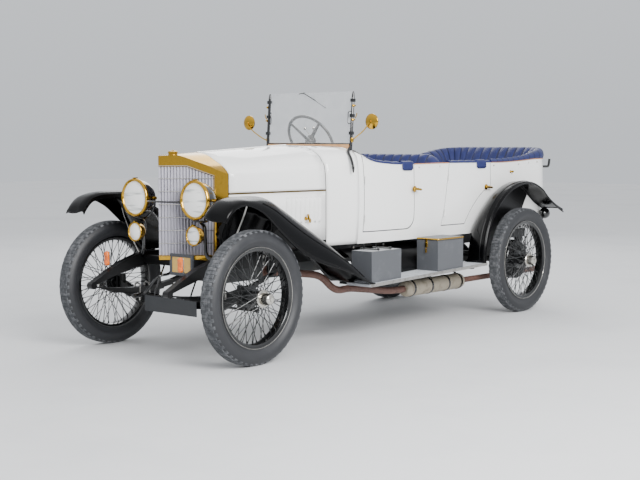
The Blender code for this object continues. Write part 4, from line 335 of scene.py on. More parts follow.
for axle, (hub_face, drum) in WHEELS.items():
    hub = wheel_centre(axle)
    nose = hub_face / 2
    spans = []
    for foot_radius, foot_along, head_along, pairs, phase in SPOKE_ROWS:
        foot = foot_along if foot_along else nose - 0.002
        spans += spoke_spans(hub, foot_radius, foot, head_along, pairs, phase)
    nipples = [(stop, stop + (start - stop).normalized() * NIPPLE_LENGTH) for start, stop in spans]
    barrel = [(0.020, -0.055), (0.043, -0.055), (0.043, -0.044), (0.078, -0.038), (0.080, -0.034),
              (0.078, -0.028), (0.046, -0.020), (0.043, -0.010), (0.043, nose - 0.014),
              (0.052, nose - 0.007), (0.058, nose - 0.004), (0.020, nose - 0.003)]
    if drum:
        barrel = [(0.020, -0.045), (DRUM_RADIUS - 0.012, -0.047), (DRUM_RADIUS - 0.012, -0.098),
                  (DRUM_RADIUS + 0.004, -0.100), (DRUM_RADIUS + 0.004, -0.094),
                  (DRUM_RADIUS, -0.092), (DRUM_RADIUS, -0.044), (DRUM_RADIUS - 0.006, -0.038),
                  (0.080, -0.034)] + barrel[5:]
    wheel = joined(spun(RIM_SECTION, hub, (1, 0, 0), 96, closed=True),
                   spun(barrel, hub, (1, 0, 0), 48, closed=True),
                   wires(spans, SPOKE_WIRE), wires(nipples, SPOKE_WIRE * NIPPLE_SHARE))
    both_sides(wheel, f"wire_wheel_{axle}_" + "{}", enamel, axle + "_wheel_{}",
               (f"wheel_{axle}_" + "{}",), slot="black_paint")
    both_sides(spun(oval(0.3348, 0.0432, 0.0016, 0.0016, 6), hub, (1, 0, 0), 72, closed=True),
               f"rim_edge_{axle}_" + "{}", nickel, axle + "_wheel_{}",
               slot="black_paint")
    cap = [(0.000, nose - 0.003), (0.057, nose - 0.003), (0.060, nose), (0.0605, nose + 0.008),
           (0.057, nose + 0.012), (0.048, nose + 0.013), (0.045, nose + 0.007),
           (0.041, nose + 0.007),
           (0.039, nose + 0.012), (0.038, hub_face - 0.024), (0.034, hub_face - 0.013),
           (0.026, hub_face - 0.007), (0.017, hub_face - 0.005), (0.0, hub_face - 0.005)]
    nut = bmesh.new()
    bmesh.ops.create_cone(nut, cap_ends=True, segments=6, radius1=0.017, radius2=0.015, depth=0.007,
                          matrix=Matrix.Translation(hub + Vector((hub_face - 0.0035, 0, 0)))
                          @ Matrix.Rotation(math.pi / 2, 4, "Y"))
    both_sides(joined(spun(cap, hub, (1, 0, 0), 48), nut), f"hub_cap_{axle}_" + "{}", nickel,
               axle + "_wheel_{}", slot="black_paint", crease=28.0)


# Radiator: a polished brass shell, bent to a V front and a domed top, over a core of upright
# tinned fins soldered to thin nickel ties. A nickel lip edges the core, and a turned cap closes
# the filler.
CORE_FRONT = -0.180
CORE_LIMIT_X = 0.280
CORE_LIMIT_Y = 0.090
CORE_LOW = 0.690
CORE_HIGH = 1.306
SHOULDER = (0.145, 1.238)
SHELL_HALF_WIDTH = 0.308
SHELL_REAR = 0.181
SHELL_LOW = 0.665
SHELL_FRONT_TOP = 1.372
SHELL_REAR_TOP = 1.393
HINGE_LEVEL = 1.110
FIN_PITCH, FIN_HALF, FINS_A_SIDE = 0.0152, 0.0027, 17
TIE_PITCH, TIE_COUNT = 0.088, 6
ARCH_STEPS = 28
FRONT_ARCH = ((0.0, 1.0), (0.32, 0.936), (0.58, 0.80), (0.88, 0.62), (1.0, 0.484))

# Polished brass: a deep yellow shine that browns where the polish has gone, its brown patches also
# a painted reflection of dark surroundings.
brass = weathered("polished_brass", "c09634", "80621f", 0.06, 0.14, 0.34, 0.003, 0.00004, 0.45,
                  metallic=1.0)
# Tinned fins: soft lilac-grey stripes, half dull so that no fin flashes.
fin_metal = weathered("tinned_fin_metal", "cccad4", "9f9ca8", 0.05, 0.34, 0.55, 0.002, 0.00005,
                      0.45,
                      metallic=0.45)
# Painted shade behind the fins: a flat black back to the core that stands in for the shade deep in
# its gaps.
core_shade = weathered("dark_core_passage", "0b0b0c", "171716", 0.05, 0.8, 0.9, 0.002, 0.0001)


def at(x, distance, z):
    """A point by its distance behind the front axle."""
    return Vector((x, distance - 1.83, z))


def smooth(table, value):
    """A value read from a table along a soft curve through its rows."""
    last = len(table) - 1
    if value <= table[0][0]:
        return table[0][1]
    if value >= table[last][0]:
        return table[last][1]
    i = max(k for k in range(last) if table[k][0] <= value)
    (x0, y0), (x1, y1) = table[i], table[i + 1]
    rise = (y1 - y0) / (x1 - x0)
    before = (y0 - table[i - 1][1]) / (x0 - table[i - 1][0]) if i else rise
    after = (table[i + 2][1] - y1) / (table[i + 2][0] - x1) if i + 1 < last else rise
    turn0 = (before + rise) / 2 if before * rise > 0 else 0.0
    turn1 = (after + rise) / 2 if after * rise > 0 else 0.0
    t, width = (value - x0) / (x1 - x0), x1 - x0
    return (y0 * (2 * t ** 3 - 3 * t ** 2 + 1) + y1 * (3 * t ** 2 - 2 * t ** 3)
            + turn0 * width * (t ** 3 - 2 * t ** 2 + t) + turn1 * width * (t ** 3 - t ** 2))


def prism(outline, run):
    """A solid between a flat outline and the same outline moved by run."""
    shape = bmesh.new()
    face = shape.faces.new([shape.verts.new(spot) for spot in outline])
    grown = bmesh.ops.extrude_face_region(shape, geom=[face])["geom"]
    bmesh.ops.translate(shape, vec=run,
                        verts=[v for v in grown if isinstance(v, bmesh.types.BMVert)])
    bmesh.ops.recalc_face_normals(shape, faces=shape.faces)
    return shape


def trimmed(shape, place, outward):
    """The shape without what lies beyond a plane, closed again there."""
    cut = bmesh.ops.bisect_plane(shape, geom=shape.verts[:] + shape.edges[:] + shape.faces[:],
                                 plane_co=place, plane_no=outward, clear_outer=True)["geom_cut"]
    bmesh.ops.holes_fill(shape, edges=[e for e in cut if isinstance(e, bmesh.types.BMEdge)],
                         sides=0)
    return shape


def block(low, high):
    """A box between two corners."""
    shape = bmesh.new()
    bmesh.ops.create_cube(shape, size=1.0)
    bmesh.ops.scale(shape, vec=Vector(high) - Vector(low), verts=shape.verts)
    bmesh.ops.translate(shape, vec=(Vector(high) + Vector(low)) / 2, verts=shape.verts)
    return shape


def v_face(x):
    """Distance of the radiator's V front at x."""
    return CORE_FRONT + abs(x) * (CORE_LIMIT_Y - CORE_FRONT) / CORE_LIMIT_X


arch = []
for step in range(ARCH_STEPS + 1):
    across = math.sin(step / ARCH_STEPS * math.pi / 2)
    arch.append((SHELL_HALF_WIDTH * across,
                 HINGE_LEVEL + (SHELL_REAR_TOP - HINGE_LEVEL) * smooth(FRONT_ARCH, across)))
arch.append((SHELL_HALF_WIDTH, SHELL_LOW))
outline = [at(x, -0.19, z) for x, z in arch] + [at(-x, -0.19, z) for x, z in reversed(arch[1:])]
shell = prism(outline, (0, 0.19 + SHELL_REAR, 0))
top_rise = Vector((0, SHELL_FRONT_TOP - SHELL_REAR_TOP, SHELL_REAR - CORE_FRONT))
trimmed(shell, at(0, SHELL_REAR, SHELL_REAR_TOP), top_rise)
for side in (1, -1):
    trimmed(shell, at(0, CORE_FRONT, 0), (side * (CORE_LIMIT_Y - CORE_FRONT), -CORE_LIMIT_X, 0))
    trimmed(shell, at(side * CORE_LIMIT_X, CORE_LIMIT_Y, 0),
            (side * (SHELL_REAR - CORE_LIMIT_Y), CORE_LIMIT_X - SHELL_HALF_WIDTH, 0))
lip = 0.007
chamfer = Vector((CORE_HIGH - SHOULDER[1], 0, CORE_LIMIT_X - SHOULDER[0]))
for place, across in ((at(0, 0, CORE_LOW), (0, 0, 1)), (at(0, 0, CORE_HIGH), (0, 0, 1)),
                      (at(CORE_LIMIT_X - lip, 0, 0), (1, 0, 0)),
                      (at(lip - CORE_LIMIT_X, 0, 0), (1, 0, 0)),
                      (at(0, 0, 0), (1, 0, 0)), (at(CORE_LIMIT_X - lip, 0, SHOULDER[1]), chamfer),
                      (at(lip - CORE_LIMIT_X, 0, SHOULDER[1]), Vector((-chamfer.x, 0, chamfer.z)))):
    bmesh.ops.bisect_plane(shell, geom=shell.verts[:] + shell.edges[:] + shell.faces[:],
                           plane_co=place,
                           plane_no=across)
window = []
for face in shell.faces:
    middle = face.calc_center_median()
    slant = (middle.z - SHOULDER[1]) * chamfer.z + (abs(middle.x) - CORE_LIMIT_X + lip) * chamfer.x
    if (face.normal.y < -0.5 and CORE_LOW < middle.z < CORE_HIGH and abs(middle.x) < CORE_LIMIT_X
        - lip
            and slant < 0):
        window.append(face)
for face in bmesh.ops.inset_region(shell, faces=window, thickness=0.004, depth=0.004)["faces"]:
    face.material_index = 2
bmesh.ops.inset_region(shell, faces=window, thickness=0.003, depth=-0.004)
bmesh.ops.inset_region(shell, faces=window, thickness=0.0005, depth=-0.025)
# The sunken back of the core window takes the flat black of painted shade.
for face in window:
    face.material_index = 1
set_shape(shell, "radiator_brass_shell", (brass, core_shade, nickel), "chassis",
          ("radiator_core", "radiator_shell"),
          slot="brass", crease=24.0)

fins = []
for number in range(-FINS_A_SIDE, FINS_A_SIDE + 1):
    x = number * FIN_PITCH
    top = CORE_HIGH - 0.009 - max(abs(x) - SHOULDER[0] + 0.012, 0.0) * chamfer.x / chamfer.z
    fins.append(block(at(x - FIN_HALF, v_face(x) + 0.003, CORE_LOW + 0.006),
                      at(x + FIN_HALF, v_face(x) + 0.028, top)))
ties = []
for level in range(1, TIE_COUNT + 1):
    z = CORE_LOW + level * TIE_PITCH
    for side in (1, -1):
        ties.append((at(side * 0.001, v_face(0) + 0.001, z),
                     at(side * 0.266, v_face(0.266) + 0.001, z)))
set_shape(joined(*fins), "radiator_core_fins", fin_metal, "chassis", slot="core_metal")
set_shape(wires(ties, 0.0021), "radiator_core_ties", nickel, "chassis", slot="core_metal")

cap_profile = [(0.0, -0.012), (0.036, -0.012), (0.036, -0.004), (0.031, 0.0), (0.031, 0.010),
               (0.034, 0.012),
               (0.034, 0.022), (0.030, 0.026), (0.018, 0.029), (0.012, 0.030), (0.010, 0.034),
               (0.0, 0.035)]
filler = [spun(cap_profile, at(0, -0.045, SHELL_FRONT_TOP + 0.004), (0, 0, 1), 40)]
for side in (1, -1):
    filler.append(block(at(side * 0.031, -0.050, 1.390), at(side * 0.040, -0.040, 1.397)))
set_shape(joined(*filler), "radiator_filler_cap", brass, "chassis", slot="brass", crease=28.0)


# Lamps: two large ones with japanned bowls and two small ones with brass bowls, all spun from
# sheet, with rolled brass rims and frosted lenses, on black posts and forks bolted to the horns.
LAMP_SIZES = {"headlamp": ((0.299, -0.137, 1.079), 0.135, 0.165),
              "side_lamp": ((0.292, -0.142, 0.841), 0.070, 0.085)}
BOWL_CURVE = ((0.0, 0.96), (0.10, 0.96), (0.22, 0.93), (0.55, 0.80), (0.80, 0.57), (0.93, 0.33),
              (1.0, 0.05))
POST_WIRE = 0.013
FORK_REACH, FORK_PLACE = 0.152, -0.082
RIM_SHARE = 0.085

# Frosted lens glass: nearly white with faint level streaks, under a clear gloss.
lens_glass, lens_tree, lens_shader, lens_place = material("frosted_lens", 0.22, Coat_Weight=0.6,
                                                          Coat_Roughness=0.05)
streak_turn = add(lens_tree, "Mapping",
                  {"Vector": lens_place, "Rotation": (0, 0.5, 0), "Scale": (4, 5, 34)})
streaks = add(lens_tree, "TexNoise",
              {"Vector": streak_turn.outputs["Vector"], "Scale": 1.0, "Detail": 3.0})
streak_tone = add(lens_tree, "ValToRGB", {"Fac": streaks.outputs["Fac"]})
for stop, position, tone in zip(streak_tone.color_ramp.elements, (0.30, 0.44),
                                ("a9adab", "fbfbf7")):
    stop.position, stop.color = position, linear(tone)
lens_tree.links.new(streak_tone.outputs["Color"], lens_shader.inputs["Base Color"])
# Black japan: the glossiest black here, with clean reflections along rods and bowls.
japan = weathered("black_japan", "070708", "17181a", 0.12, 0.12, 0.34, 0.006, 0.00003, 0.38,
                  Coat_Weight=0.6, Coat_Roughness=0.06)


def skin(rows, around=False, caps=False, facing=None):
    """A surface through rows of points; around joins each row, facing turns an open sheet."""
    rows = [[*row, row[0]] if around else list(row) for row in rows]
    wide = len(rows[0])
    shape = bmesh.new()
    bmesh.ops.create_grid(shape, x_segments=wide - 1, y_segments=len(rows) - 1, size=1.0)
    shape.verts.ensure_lookup_table()
    for i, row in enumerate(rows):
        for j, spot in enumerate(row):
            shape.verts[i * wide + j].co = spot
    bmesh.ops.remove_doubles(shape, verts=shape.verts, dist=0.000005)
    if caps:
        bmesh.ops.holes_fill(shape, edges=[e for e in shape.edges if e.is_boundary], sides=0)
    bmesh.ops.recalc_face_normals(shape, faces=shape.faces)
    if facing:
        shape.normal_update()
        total = sum(face.normal.dot(Vector(facing)) * face.calc_area() for face in shape.faces)
        if total < 0:
            bmesh.ops.reverse_faces(shape, faces=shape.faces)
    return shape


def tube(points, radius, sides=10, bend=4, closed=False):
    """A round rod along points, its corners eased by bend more points."""
    points = [Vector(p) for p in points]
    path = []
    for i, spot in enumerate(points):
        if not closed and i in (0, len(points) - 1):
            path.append(spot)
            continue
        before, after = points[i - 1], points[(i + 1) % len(points)]
        ease = min((spot - before).length, (after - spot).length) * 0.45
        start = spot + (before - spot).normalized() * ease
        stop = spot + (after - spot).normalized() * ease
        for step in range(bend + 1):
            t = step / bend
            path.append(start * (1 - t) ** 2 + spot * 2 * t * (1 - t) + stop * t * t)
    rings, up = [], None
    for i, spot in enumerate(path):
        before = path[i - 1] if closed or i else spot
        after = path[(i + 1) % len(path)] if closed or i + 1 < len(path) else spot
        run = (after - before).normalized()
        up = run.orthogonal() if up is None else up - run * up.dot(run)
        up.normalize()
        cross = run.cross(up)
        rings.append([spot + (up * math.cos(a) + cross * math.sin(a)) * radius
                      for a in (k * math.tau / sides for k in range(sides))])
    if closed:
        rings.append(rings[0])
    return skin(rings, around=True, caps=not closed)


for lamp, (centre, radius, depth) in LAMP_SIZES.items():
    place = at(*centre)
    bowl = [(radius * smooth(BOWL_CURVE, k / 14), depth * k / 14) for k in range(1, 15)]
    bowl = [(0.0, 0.010), (radius * 0.93, 0.010),
            (radius * 0.96, 0.002)] + bowl + [(0.0, depth * 1.004)]
    both_sides(spun(bowl, place, (0, 1, 0), 48), lamp + "_bowl_{}",
               japan if lamp == "headlamp" else brass, "chassis", (lamp + "_{}",),
               slot="black_paint", crease=40.0)
    edge = radius * RIM_SHARE
    ring = oval(radius - edge, edge * 0.7, edge, edge * 1.25, 10)
    clip = block(place + Vector((-0.008, -0.003, radius - 0.004)),
                 place + Vector((0.008, edge * 2.6, radius + 0.005)))
    screws = [block(place + Vector((x - 0.003, -0.004, z - 0.003)),
                    place + Vector((x + 0.003, 0.002, z + 0.003)))
              for x, z in ((radius * 0.82, -radius * 0.5), (-radius * 0.82, -radius * 0.5),
                           (0, -radius * 0.96))]
    both_sides(joined(spun(ring, place, (0, 1, 0), 64, closed=True), clip, *screws),
               lamp + "_rim_{}", brass,
               "chassis", slot="brass")
    glass = [((radius - edge * 1.6) * k / 8, 0.006 - 0.012 * (1 - (k / 8) ** 2)) for k in range(9)]
    both_sides(spun(glass, place, (0, 1, 0), 48), lamp + "_lens_{}", lens_glass, "chassis",
               slot="glass")

rods, pivots = [], []
for side in (1, -1):
    x = side * 0.299
    rods += [tube([at(side * 0.38, 0, 0.585), at(side * 0.38, -0.01, 0.645),
                   at(side * 0.308, -0.043, 0.700),
                   at(side * 0.302, -0.043, 0.905), at(x, FORK_PLACE, 0.932)], POST_WIRE),
             tube([at(x - FORK_REACH, FORK_PLACE, 1.086), at(x - FORK_REACH, FORK_PLACE, 1.01),
                   at(x - 0.068, FORK_PLACE, 0.932),
                   at(x + 0.068, FORK_PLACE, 0.932), at(x + FORK_REACH, FORK_PLACE, 1.01),
                   at(x + FORK_REACH, FORK_PLACE, 1.086)],
                  0.008, bend=6),
             tube([at(side * 0.292, -0.043, 0.841), at(side * 0.292, -0.062, 0.841)], 0.008),
             tube([at(side * 0.38, 0.0, 0.587), at(side * 0.38, 0.0, 0.597)], 0.026, sides=6)]
    for away in (FORK_REACH, -FORK_REACH):
        pivots.append(tube([at(x + away * 1.07, FORK_PLACE, 1.079),
                            at(x + away * 0.82, FORK_PLACE, 1.079)], 0.012, sides=10))
rods.append(tube([at(-0.175, -0.105, 1.062), at(-0.10, -0.194, 1.062), at(0.10, -0.194, 1.062),
                  at(0.175, -0.105, 1.062)],
                 0.0065))
set_shape(joined(*pivots), "lamp_fork_pivots", brass, "chassis", slot="brass")
set_shape(joined(*rods), "lamp_posts_and_forks", japan, "chassis", ("lamp_bar",),
          slot="black_paint")


# Front equipment: a blank pressed plate, a grey-framed square reflector panel, two amber side
# repeaters on thin stalks and the cranked starting handle, all bolted to the front cross member.

# Plate paint: a flat dark grey panel that reflects little.
plate_paint = weathered("dark_grey_plate_paint", "2e3033", "3a3c3f", 0.15, 0.45, 0.6, 0.003,
                        0.00005)
# Frame paint: a lighter grey that sets the reflector off from the black irons.
frame_grey = weathered("grey_frame_paint", "3b3e43", "55595e", 0.05, 0.45, 0.6, 0.003, 0.00005)
# Amber glass: strong orange under a wet gloss, the brightest spots at the front.
amber = weathered("amber_lens", "e06a10", "c95608", 0.04, 0.15, 0.25, 0.0025, 0.0003,
                  Coat_Weight=0.7, Coat_Roughness=0.04)
# Moulded reflector: a dull gold field with a fine dimpled glitter.
yellow = weathered("yellow_reflector", "c9a24a", "b98c34", 0.03, 0.2, 0.3, 0.003, 0.0004,
                   Coat_Weight=0.7)
# Worn bright steel: small grey glints where the paint has gone.
bare_steel = weathered("bright_worn_steel", "b4b2ae", "77736d", 0.04, 0.28, 0.5, 0.002, 0.00005,
                       0.5,
                       metallic=1.0)

plate = block(at(-0.26, -0.086, 0.285), at(0.26, -0.080, 0.395))
set_shape(plate, "front_plate_blank", plate_paint, "chassis", slot="black_paint", round_off=0.002)
straps = [tube([at(x, -0.078, 0.35), at(x, -0.060, 0.42), at(x, 0.03, 0.60)], 0.006, sides=6)
          for x in (-0.18, 0.18)]
set_shape(joined(*straps), "front_plate_straps", japan, "chassis", slot="black_paint")

rim = prism([at(0.046, -0.128, 0.562), at(0.268, -0.128, 0.562), at(0.268, -0.128, 0.710),
             at(0.046, -0.128, 0.710)], (0, 0.016, 0))
front_face = min(rim.faces, key=lambda face: face.calc_center_median().y)
bmesh.ops.inset_region(rim, faces=[front_face], thickness=0.027, depth=0.0)
bmesh.ops.inset_region(rim, faces=[front_face], thickness=0.003, depth=-0.006)
front_face.material_index = 1
set_shape(rim, "square_reflector_panel", (frame_grey, yellow), "chassis", slot="black_paint",
          round_off=0.0015)
stay = [tube([at(x, -0.112, 0.58), at(x, -0.02, 0.60), at(x, 0.02, 0.625)], 0.007, sides=6)
        for x in (0.10, 0.22)]
set_shape(joined(*stay), "reflector_panel_stays", japan, "chassis", slot="black_paint")

for side, lens_at in ((1, (0.333, -0.300, 0.660)), (-1, (-0.408, -0.300, 0.658))):
    spot = at(*lens_at)
    name = "left" if side > 0 else "right"
    lobe = [(0.0, -0.014), (0.010, -0.013), (0.018, -0.008), (0.021, 0.0), (0.021, 0.010),
            (0.0, 0.010)]
    lobes = joined(*[spun(lobe, spot + Vector((0, 0, z)), (0, 1, 0), 20) for z in (0.030, -0.030)],
                   block(spot + Vector((-0.019, -0.006, -0.032)),
                         spot + Vector((0.019, 0.010, 0.032))))
    set_shape(lobes, "amber_repeater_" + name, amber, "chassis", slot="glass", round_off=0.002)
    base = block(spot + Vector((-0.019, 0.010, -0.046)), spot + Vector((0.019, 0.018, 0.046)))
    stalk = tube([spot + Vector((0, 0.014, -0.04)), spot + Vector((0, 0.06, -0.07)),
                  at(side * 0.372, -0.20, 0.585), at(side * 0.380, -0.16, 0.580)], 0.004, sides=6)
    set_shape(joined(base, stalk), "repeater_stalk_" + name, bare_steel, "chassis",
              slot="black_paint",
              round_off=0.001)

handle = tube([at(0, 0.000, 0.630), at(0, -0.045, 0.630), at(0, -0.078, 0.560),
               at(0, -0.190, 0.560),
               at(-0.141, -0.190, 0.419), at(-0.141, -0.300, 0.419)], 0.010)
grip = [(0.0, -0.302), (0.013, -0.300), (0.016, -0.285), (0.017, -0.250), (0.014, -0.215),
        (0.0, -0.212)]
set_shape(joined(handle, spun(grip, at(-0.141, 0, 0.419), (0, 1, 0), 16)), "starting_crank", japan,
          "chassis", ("starting_handle",), slot="black_paint")


# Chassis: pressed steel rails and cross members, forged axles and leaf springs, all painted black
# and bolted with bright steel. They and the plain cast engine block are shown by their solids.
RAIL_BOLTS = (-0.10, 0.42, 0.66, 1.02, 1.42, 1.80, 2.42, 2.90, 3.40)
# Chassis enamel: a soft greasy black, brownish and dull where road dirt sticks.
chassis_paint = weathered("chassis_enamel", "0a0a0b", "1f1d1b", 0.10, 0.30, 0.6, 0.004, 0.0001,
                          0.36,
                          Specular_IOR_Level=0.35)
# Cast iron: rough dark grey with no clear highlight.
engine_iron = weathered("engine_cast_iron", "3a3c3d", "54524c", 0.12, 0.55, 0.75, 0.003, 0.0003)

LEFT_AS_SOLIDS = {chassis_paint: ("rail_left", "rail_right", "cross_front", "cross_middle",
                                  "cross_rear",
                                  "front_axle", "rear_axle", "knuckle_left", "knuckle_right",
                                  "tie_rod"),
                  engine_iron: ("engine_block",)}
for finish, nodes in LEFT_AS_SOLIDS.items():
    for node in nodes:
        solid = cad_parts[node]
        solid.data.materials.clear()
        solid.data.materials.append(finish)

bolts = []
for distance in RAIL_BOLTS:
    fall = smooth(((-0.455, 0.12), (-0.2, 0.06), (0.0, 0.02), (0.1, 0.0)), distance)
    for z in (0.668 - fall * 0.9, 0.622 - fall * 0.9):
        bolts.append(spun([(0.0, 0.0), (0.011, 0.0), (0.011, 0.006), (0.006, 0.010), (0.0, 0.010)],
                          at(0.4048, distance, z), (1, 0, 0), 6))
for offset in (-0.045, 0.045):
    for x in (0.354, 0.406):
        bolts.append(tube([at(x, offset, 0.345), at(x, offset, 0.462), at(0.38, offset, 0.468)],
                          0.007,
                          sides=6, bend=2))
both_sides(joined(*bolts), "chassis_bolts_{}", bare_steel, "chassis", slot="black_paint")


# Bonnet: two white sheet-metal tops hinged on a centre rod and two upright sides, hinged under
# them on a brass rod in painted shade, each side pressed with louvres and held by a brass T latch.
BONNET_FRONT, BONNET_BACK = 0.187, 1.094
BONNET_HALVES = (0.308, 0.410)
BONNET_CROWNS = (1.393, 1.440)
BONNET_LOW = 0.745
REAR_ARCH = ((0.0, 1.0), (0.49, 0.95), (0.73, 0.85), (0.90, 0.65), (0.985, 0.33), (1.0, 0.0))
TOP_COLUMNS = 26
LOUVRE_COUNT, LOUVRE_STEP = 8, 0.045

# White coach enamel: clean and bright, with long soft reflections and no grain at all.
white = weathered("white_coach_enamel", "f3f3f1", "e6e6e3", 0.5, 0.12, 0.22, 0.5, 0.0, 0.35,
                  Coat_Weight=0.5, Coat_Roughness=0.06)


def arch_line(table, half, crown, columns):
    """Points of half an arch from its crown to the hinge line, evenly spread along it."""
    fine = []
    for step in range(241):
        across = math.sin(step / 240 * math.pi / 2)
        fine.append((half * across, HINGE_LEVEL + (crown - HINGE_LEVEL) * smooth(table, across)))
    fine.append((half, HINGE_LEVEL))
    runs = [0.0]
    for (x0, z0), (x1, z1) in zip(fine, fine[1:]):
        runs.append(runs[-1] + math.hypot(x1 - x0, z1 - z0))
    line = []
    for column in range(columns):
        goal = runs[-1] * column / (columns - 1)
        k = max(i for i in range(len(runs) - 1) if runs[i] <= goal or i == 0)
        share = min((goal - runs[k]) / max(runs[k + 1] - runs[k], 1e-9), 1.0)
        line.append((fine[k][0] + (fine[k + 1][0] - fine[k][0]) * share,
                     fine[k][1] + (fine[k + 1][1] - fine[k][1]) * share))
    return line


front_line = arch_line(FRONT_ARCH, BONNET_HALVES[0], BONNET_CROWNS[0], TOP_COLUMNS)
rear_line = arch_line(REAR_ARCH, BONNET_HALVES[1], BONNET_CROWNS[1], TOP_COLUMNS)
rows = []
for row in range(13):
    share = row / 12
    distance = BONNET_FRONT + (BONNET_BACK - BONNET_FRONT) * share
    rows.append([at(max(x0 + (x1 - x0) * share, 0.006), distance,
                    z0 + (z1 - z0) * share + (0.006 if k == TOP_COLUMNS - 1 else 0))
                 for k, ((x0, z0), (x1, z1)) in enumerate(zip(front_line, rear_line))])
both_sides(skin(rows, facing=(1, 0, 1)), "bonnet_top_sheet_{}", white, "bonnet_lid_{}",
           ("bonnet_top_{}",),
           slot="white_paint", sheet=0.003)


def bonnet_half(distance):
    """Half width of the bonnet's upright side."""
    share = (distance - BONNET_FRONT) / (BONNET_BACK - BONNET_FRONT)
    return BONNET_HALVES[0] + (BONNET_HALVES[1] - BONNET_HALVES[0]) * share


side_rows = [[at(bonnet_half(y), y, z) for z in (HINGE_LEVEL - 0.006, 0.99, 0.87, BONNET_LOW)]
             for y in (BONNET_FRONT + (BONNET_BACK - BONNET_FRONT) * k / 8 for k in range(9))]
both_sides(skin(side_rows, facing=(1, 0, 0)), "bonnet_side_sheet_{}", white, "bonnet_flap_{}",
           ("bonnet_side_{}",), slot="white_paint", sheet=0.003)
louvres = []
for number in range(LOUVRE_COUNT):
    rear = BONNET_BACK - 0.052 - number * LOUVRE_STEP
    rows = []
    for k in range(11):
        z = 0.877 + 0.191 * k / 10
        swell = math.sqrt(max(1 - (abs(k - 5) / 5) ** 6, 0.0))
        row = []
        for j in range(7):
            share = j / 6
            lift = 0.0085 * swell * math.sin(min(share * 1.25, 1.0) * math.pi / 2)
            y = rear - 0.022 + 0.022 * share
            row.append(at(bonnet_half(y) + (lift if j < 6 else -0.001), min(y, rear - 0.001), z))
        rows.append(row)
    louvres.append(skin(rows, facing=(1, 0, 0)))
both_sides(joined(*louvres), "bonnet_louvres_{}", white, "bonnet_flap_{}", slot="white_paint",
           sheet=0.001)
# Brass in painted shade: a thin brown line along the hinge, much darker than the polished fittings.
shaded_brass = weathered("aged_brass_rod", "6f5c34", "453a24", 0.06, 0.35, 0.55, 0.003, 0.00004,
                       metallic=1.0)
hinge = tube([at(bonnet_half(y) + 0.001, y, HINGE_LEVEL) for y in (BONNET_FRONT, BONNET_BACK)],
             0.0048, sides=8)
both_sides(hinge, "bonnet_hinge_rod_{}", shaded_brass, "bonnet_flap_{}", slot="brass")
latch = at(bonnet_half(0.895), 0.895, 0.91)
latch_shape = joined(
    spun([(0.0, 0.0), (0.016, 0.0), (0.015, 0.005), (0.008, 0.008), (0.008, 0.030), (0.0, 0.030)],
         latch, (1, 0, 0), 18),
    tube([latch + Vector((0.030, -0.010, 0.034)), latch + Vector((0.032, 0.0, 0.0)),
          latch + Vector((0.030, 0.016, -0.026))], 0.0075, sides=8),
    tube([latch + Vector((0.014, 0, 0)), latch + Vector((0.012, 0.030, 0.006)),
          latch + Vector((0.012, 0.045, -0.016)),
          latch + Vector((0.006, 0.030, -0.030))], 0.004, sides=6))
both_sides(latch_shape, "bonnet_latch_{}", brass, "bonnet_flap_{}", slot="brass")


# Scuttle: the white cowl that widens from the bonnet to the cockpit, with its bulkhead, the rod
# that both bonnet tops hinge on, and a wooden dash that carries round brass-rimmed gauges.
COCKPIT = 1.383
BODY_HALF_WIDTH = 0.590
BODY_START, BODY_END = 1.100, 4.140
BODY_LOW, BODY_HIGH = 0.700, 1.290
COWL_ARCH = ((0.0, 1.0), (0.50, 0.985), (0.75, 0.945), (0.88, 0.865), (0.95, 0.72), (0.985, 0.45),
             (1.0, 0.0))
PLAN_TABLE = ((0.0, 0.695), (0.094, 0.834), (0.197, 0.907), (0.312, 0.934), (0.428, 0.937),
              (0.559, 0.975),
              (0.690, 1.0), (0.800, 1.0))
SECTION_TABLE = ((0.0, -1.0), (0.14, -0.3), (0.45, 0.4), (0.80, 0.2), (1.0, 0.0))
BELLY, WALL = 0.018, 0.032
# Varnished wood: warm tan with a light gloss.
wood = weathered("varnished_tan_wood", "c99a6b", "a8764a", 0.05, 0.25, 0.4, 0.004, 0.00008, 0.5,
                 Coat_Weight=0.4)
# Gauge enamel: small ivory discs behind clear glass.
gauge_face = weathered("ivory_gauge_face", "d9d4c4", "c8c2b0", 0.02, 0.3, 0.4, 0.002, 0.00002,
                       Coat_Weight=1.0)


def body_half(distance):
    """Half width of the body at its waist."""
    return BODY_HALF_WIDTH * smooth(PLAN_TABLE, (distance - BODY_START) / (BODY_END - BODY_START))


rows = []
for row in range(9):
    share = row / 8
    distance = 1.102 + (COCKPIT - 1.102) * share
    half = body_half(distance) if row else BONNET_HALVES[1]
    crown = BONNET_CROWNS[1] - 0.006 * share
    arch = [(x0 + (x1 - x0) * share, z0 + (z1 - z0) * share)
            for (x0, z0), (x1, z1) in zip(arch_line(REAR_ARCH, half, crown, 30),
                                          arch_line(COWL_ARCH, half, crown, 30))]
    arch += [(half, HINGE_LEVEL - drop)
             for drop in (0.06, 0.12, 0.19, 0.25, 0.30, 0.34, 0.38, 0.41)]
    belly = [(x + BELLY * smooth(SECTION_TABLE, (z - BODY_LOW) / 0.70) * share * min(x / half,
                                                                                     1.0) ** 2, z)
             for x, z in arch]
    rows.append([at(-x, distance, z) for x, z in reversed(belly[1:])]
                + [at(x, distance, z) for x, z in belly])
set_shape(skin(rows, facing=(0, 0, 1)), "scuttle_cowl", white, "chassis", ("scuttle",),
          slot="white_paint",
          sheet=0.004)
bulk = arch_line(REAR_ARCH, BONNET_HALVES[1] - 0.006, BONNET_CROWNS[1] - 0.006, 24)
bulk.append((BONNET_HALVES[1] - 0.006, BODY_LOW))
set_shape(prism([at(x, 1.104, z) for x, z in bulk]
                + [at(-x, 1.104, z) for x, z in reversed(bulk[1:])], (0, 0.006, 0)),
          "scuttle_bulkhead", chassis_paint, "chassis", slot="black_paint")
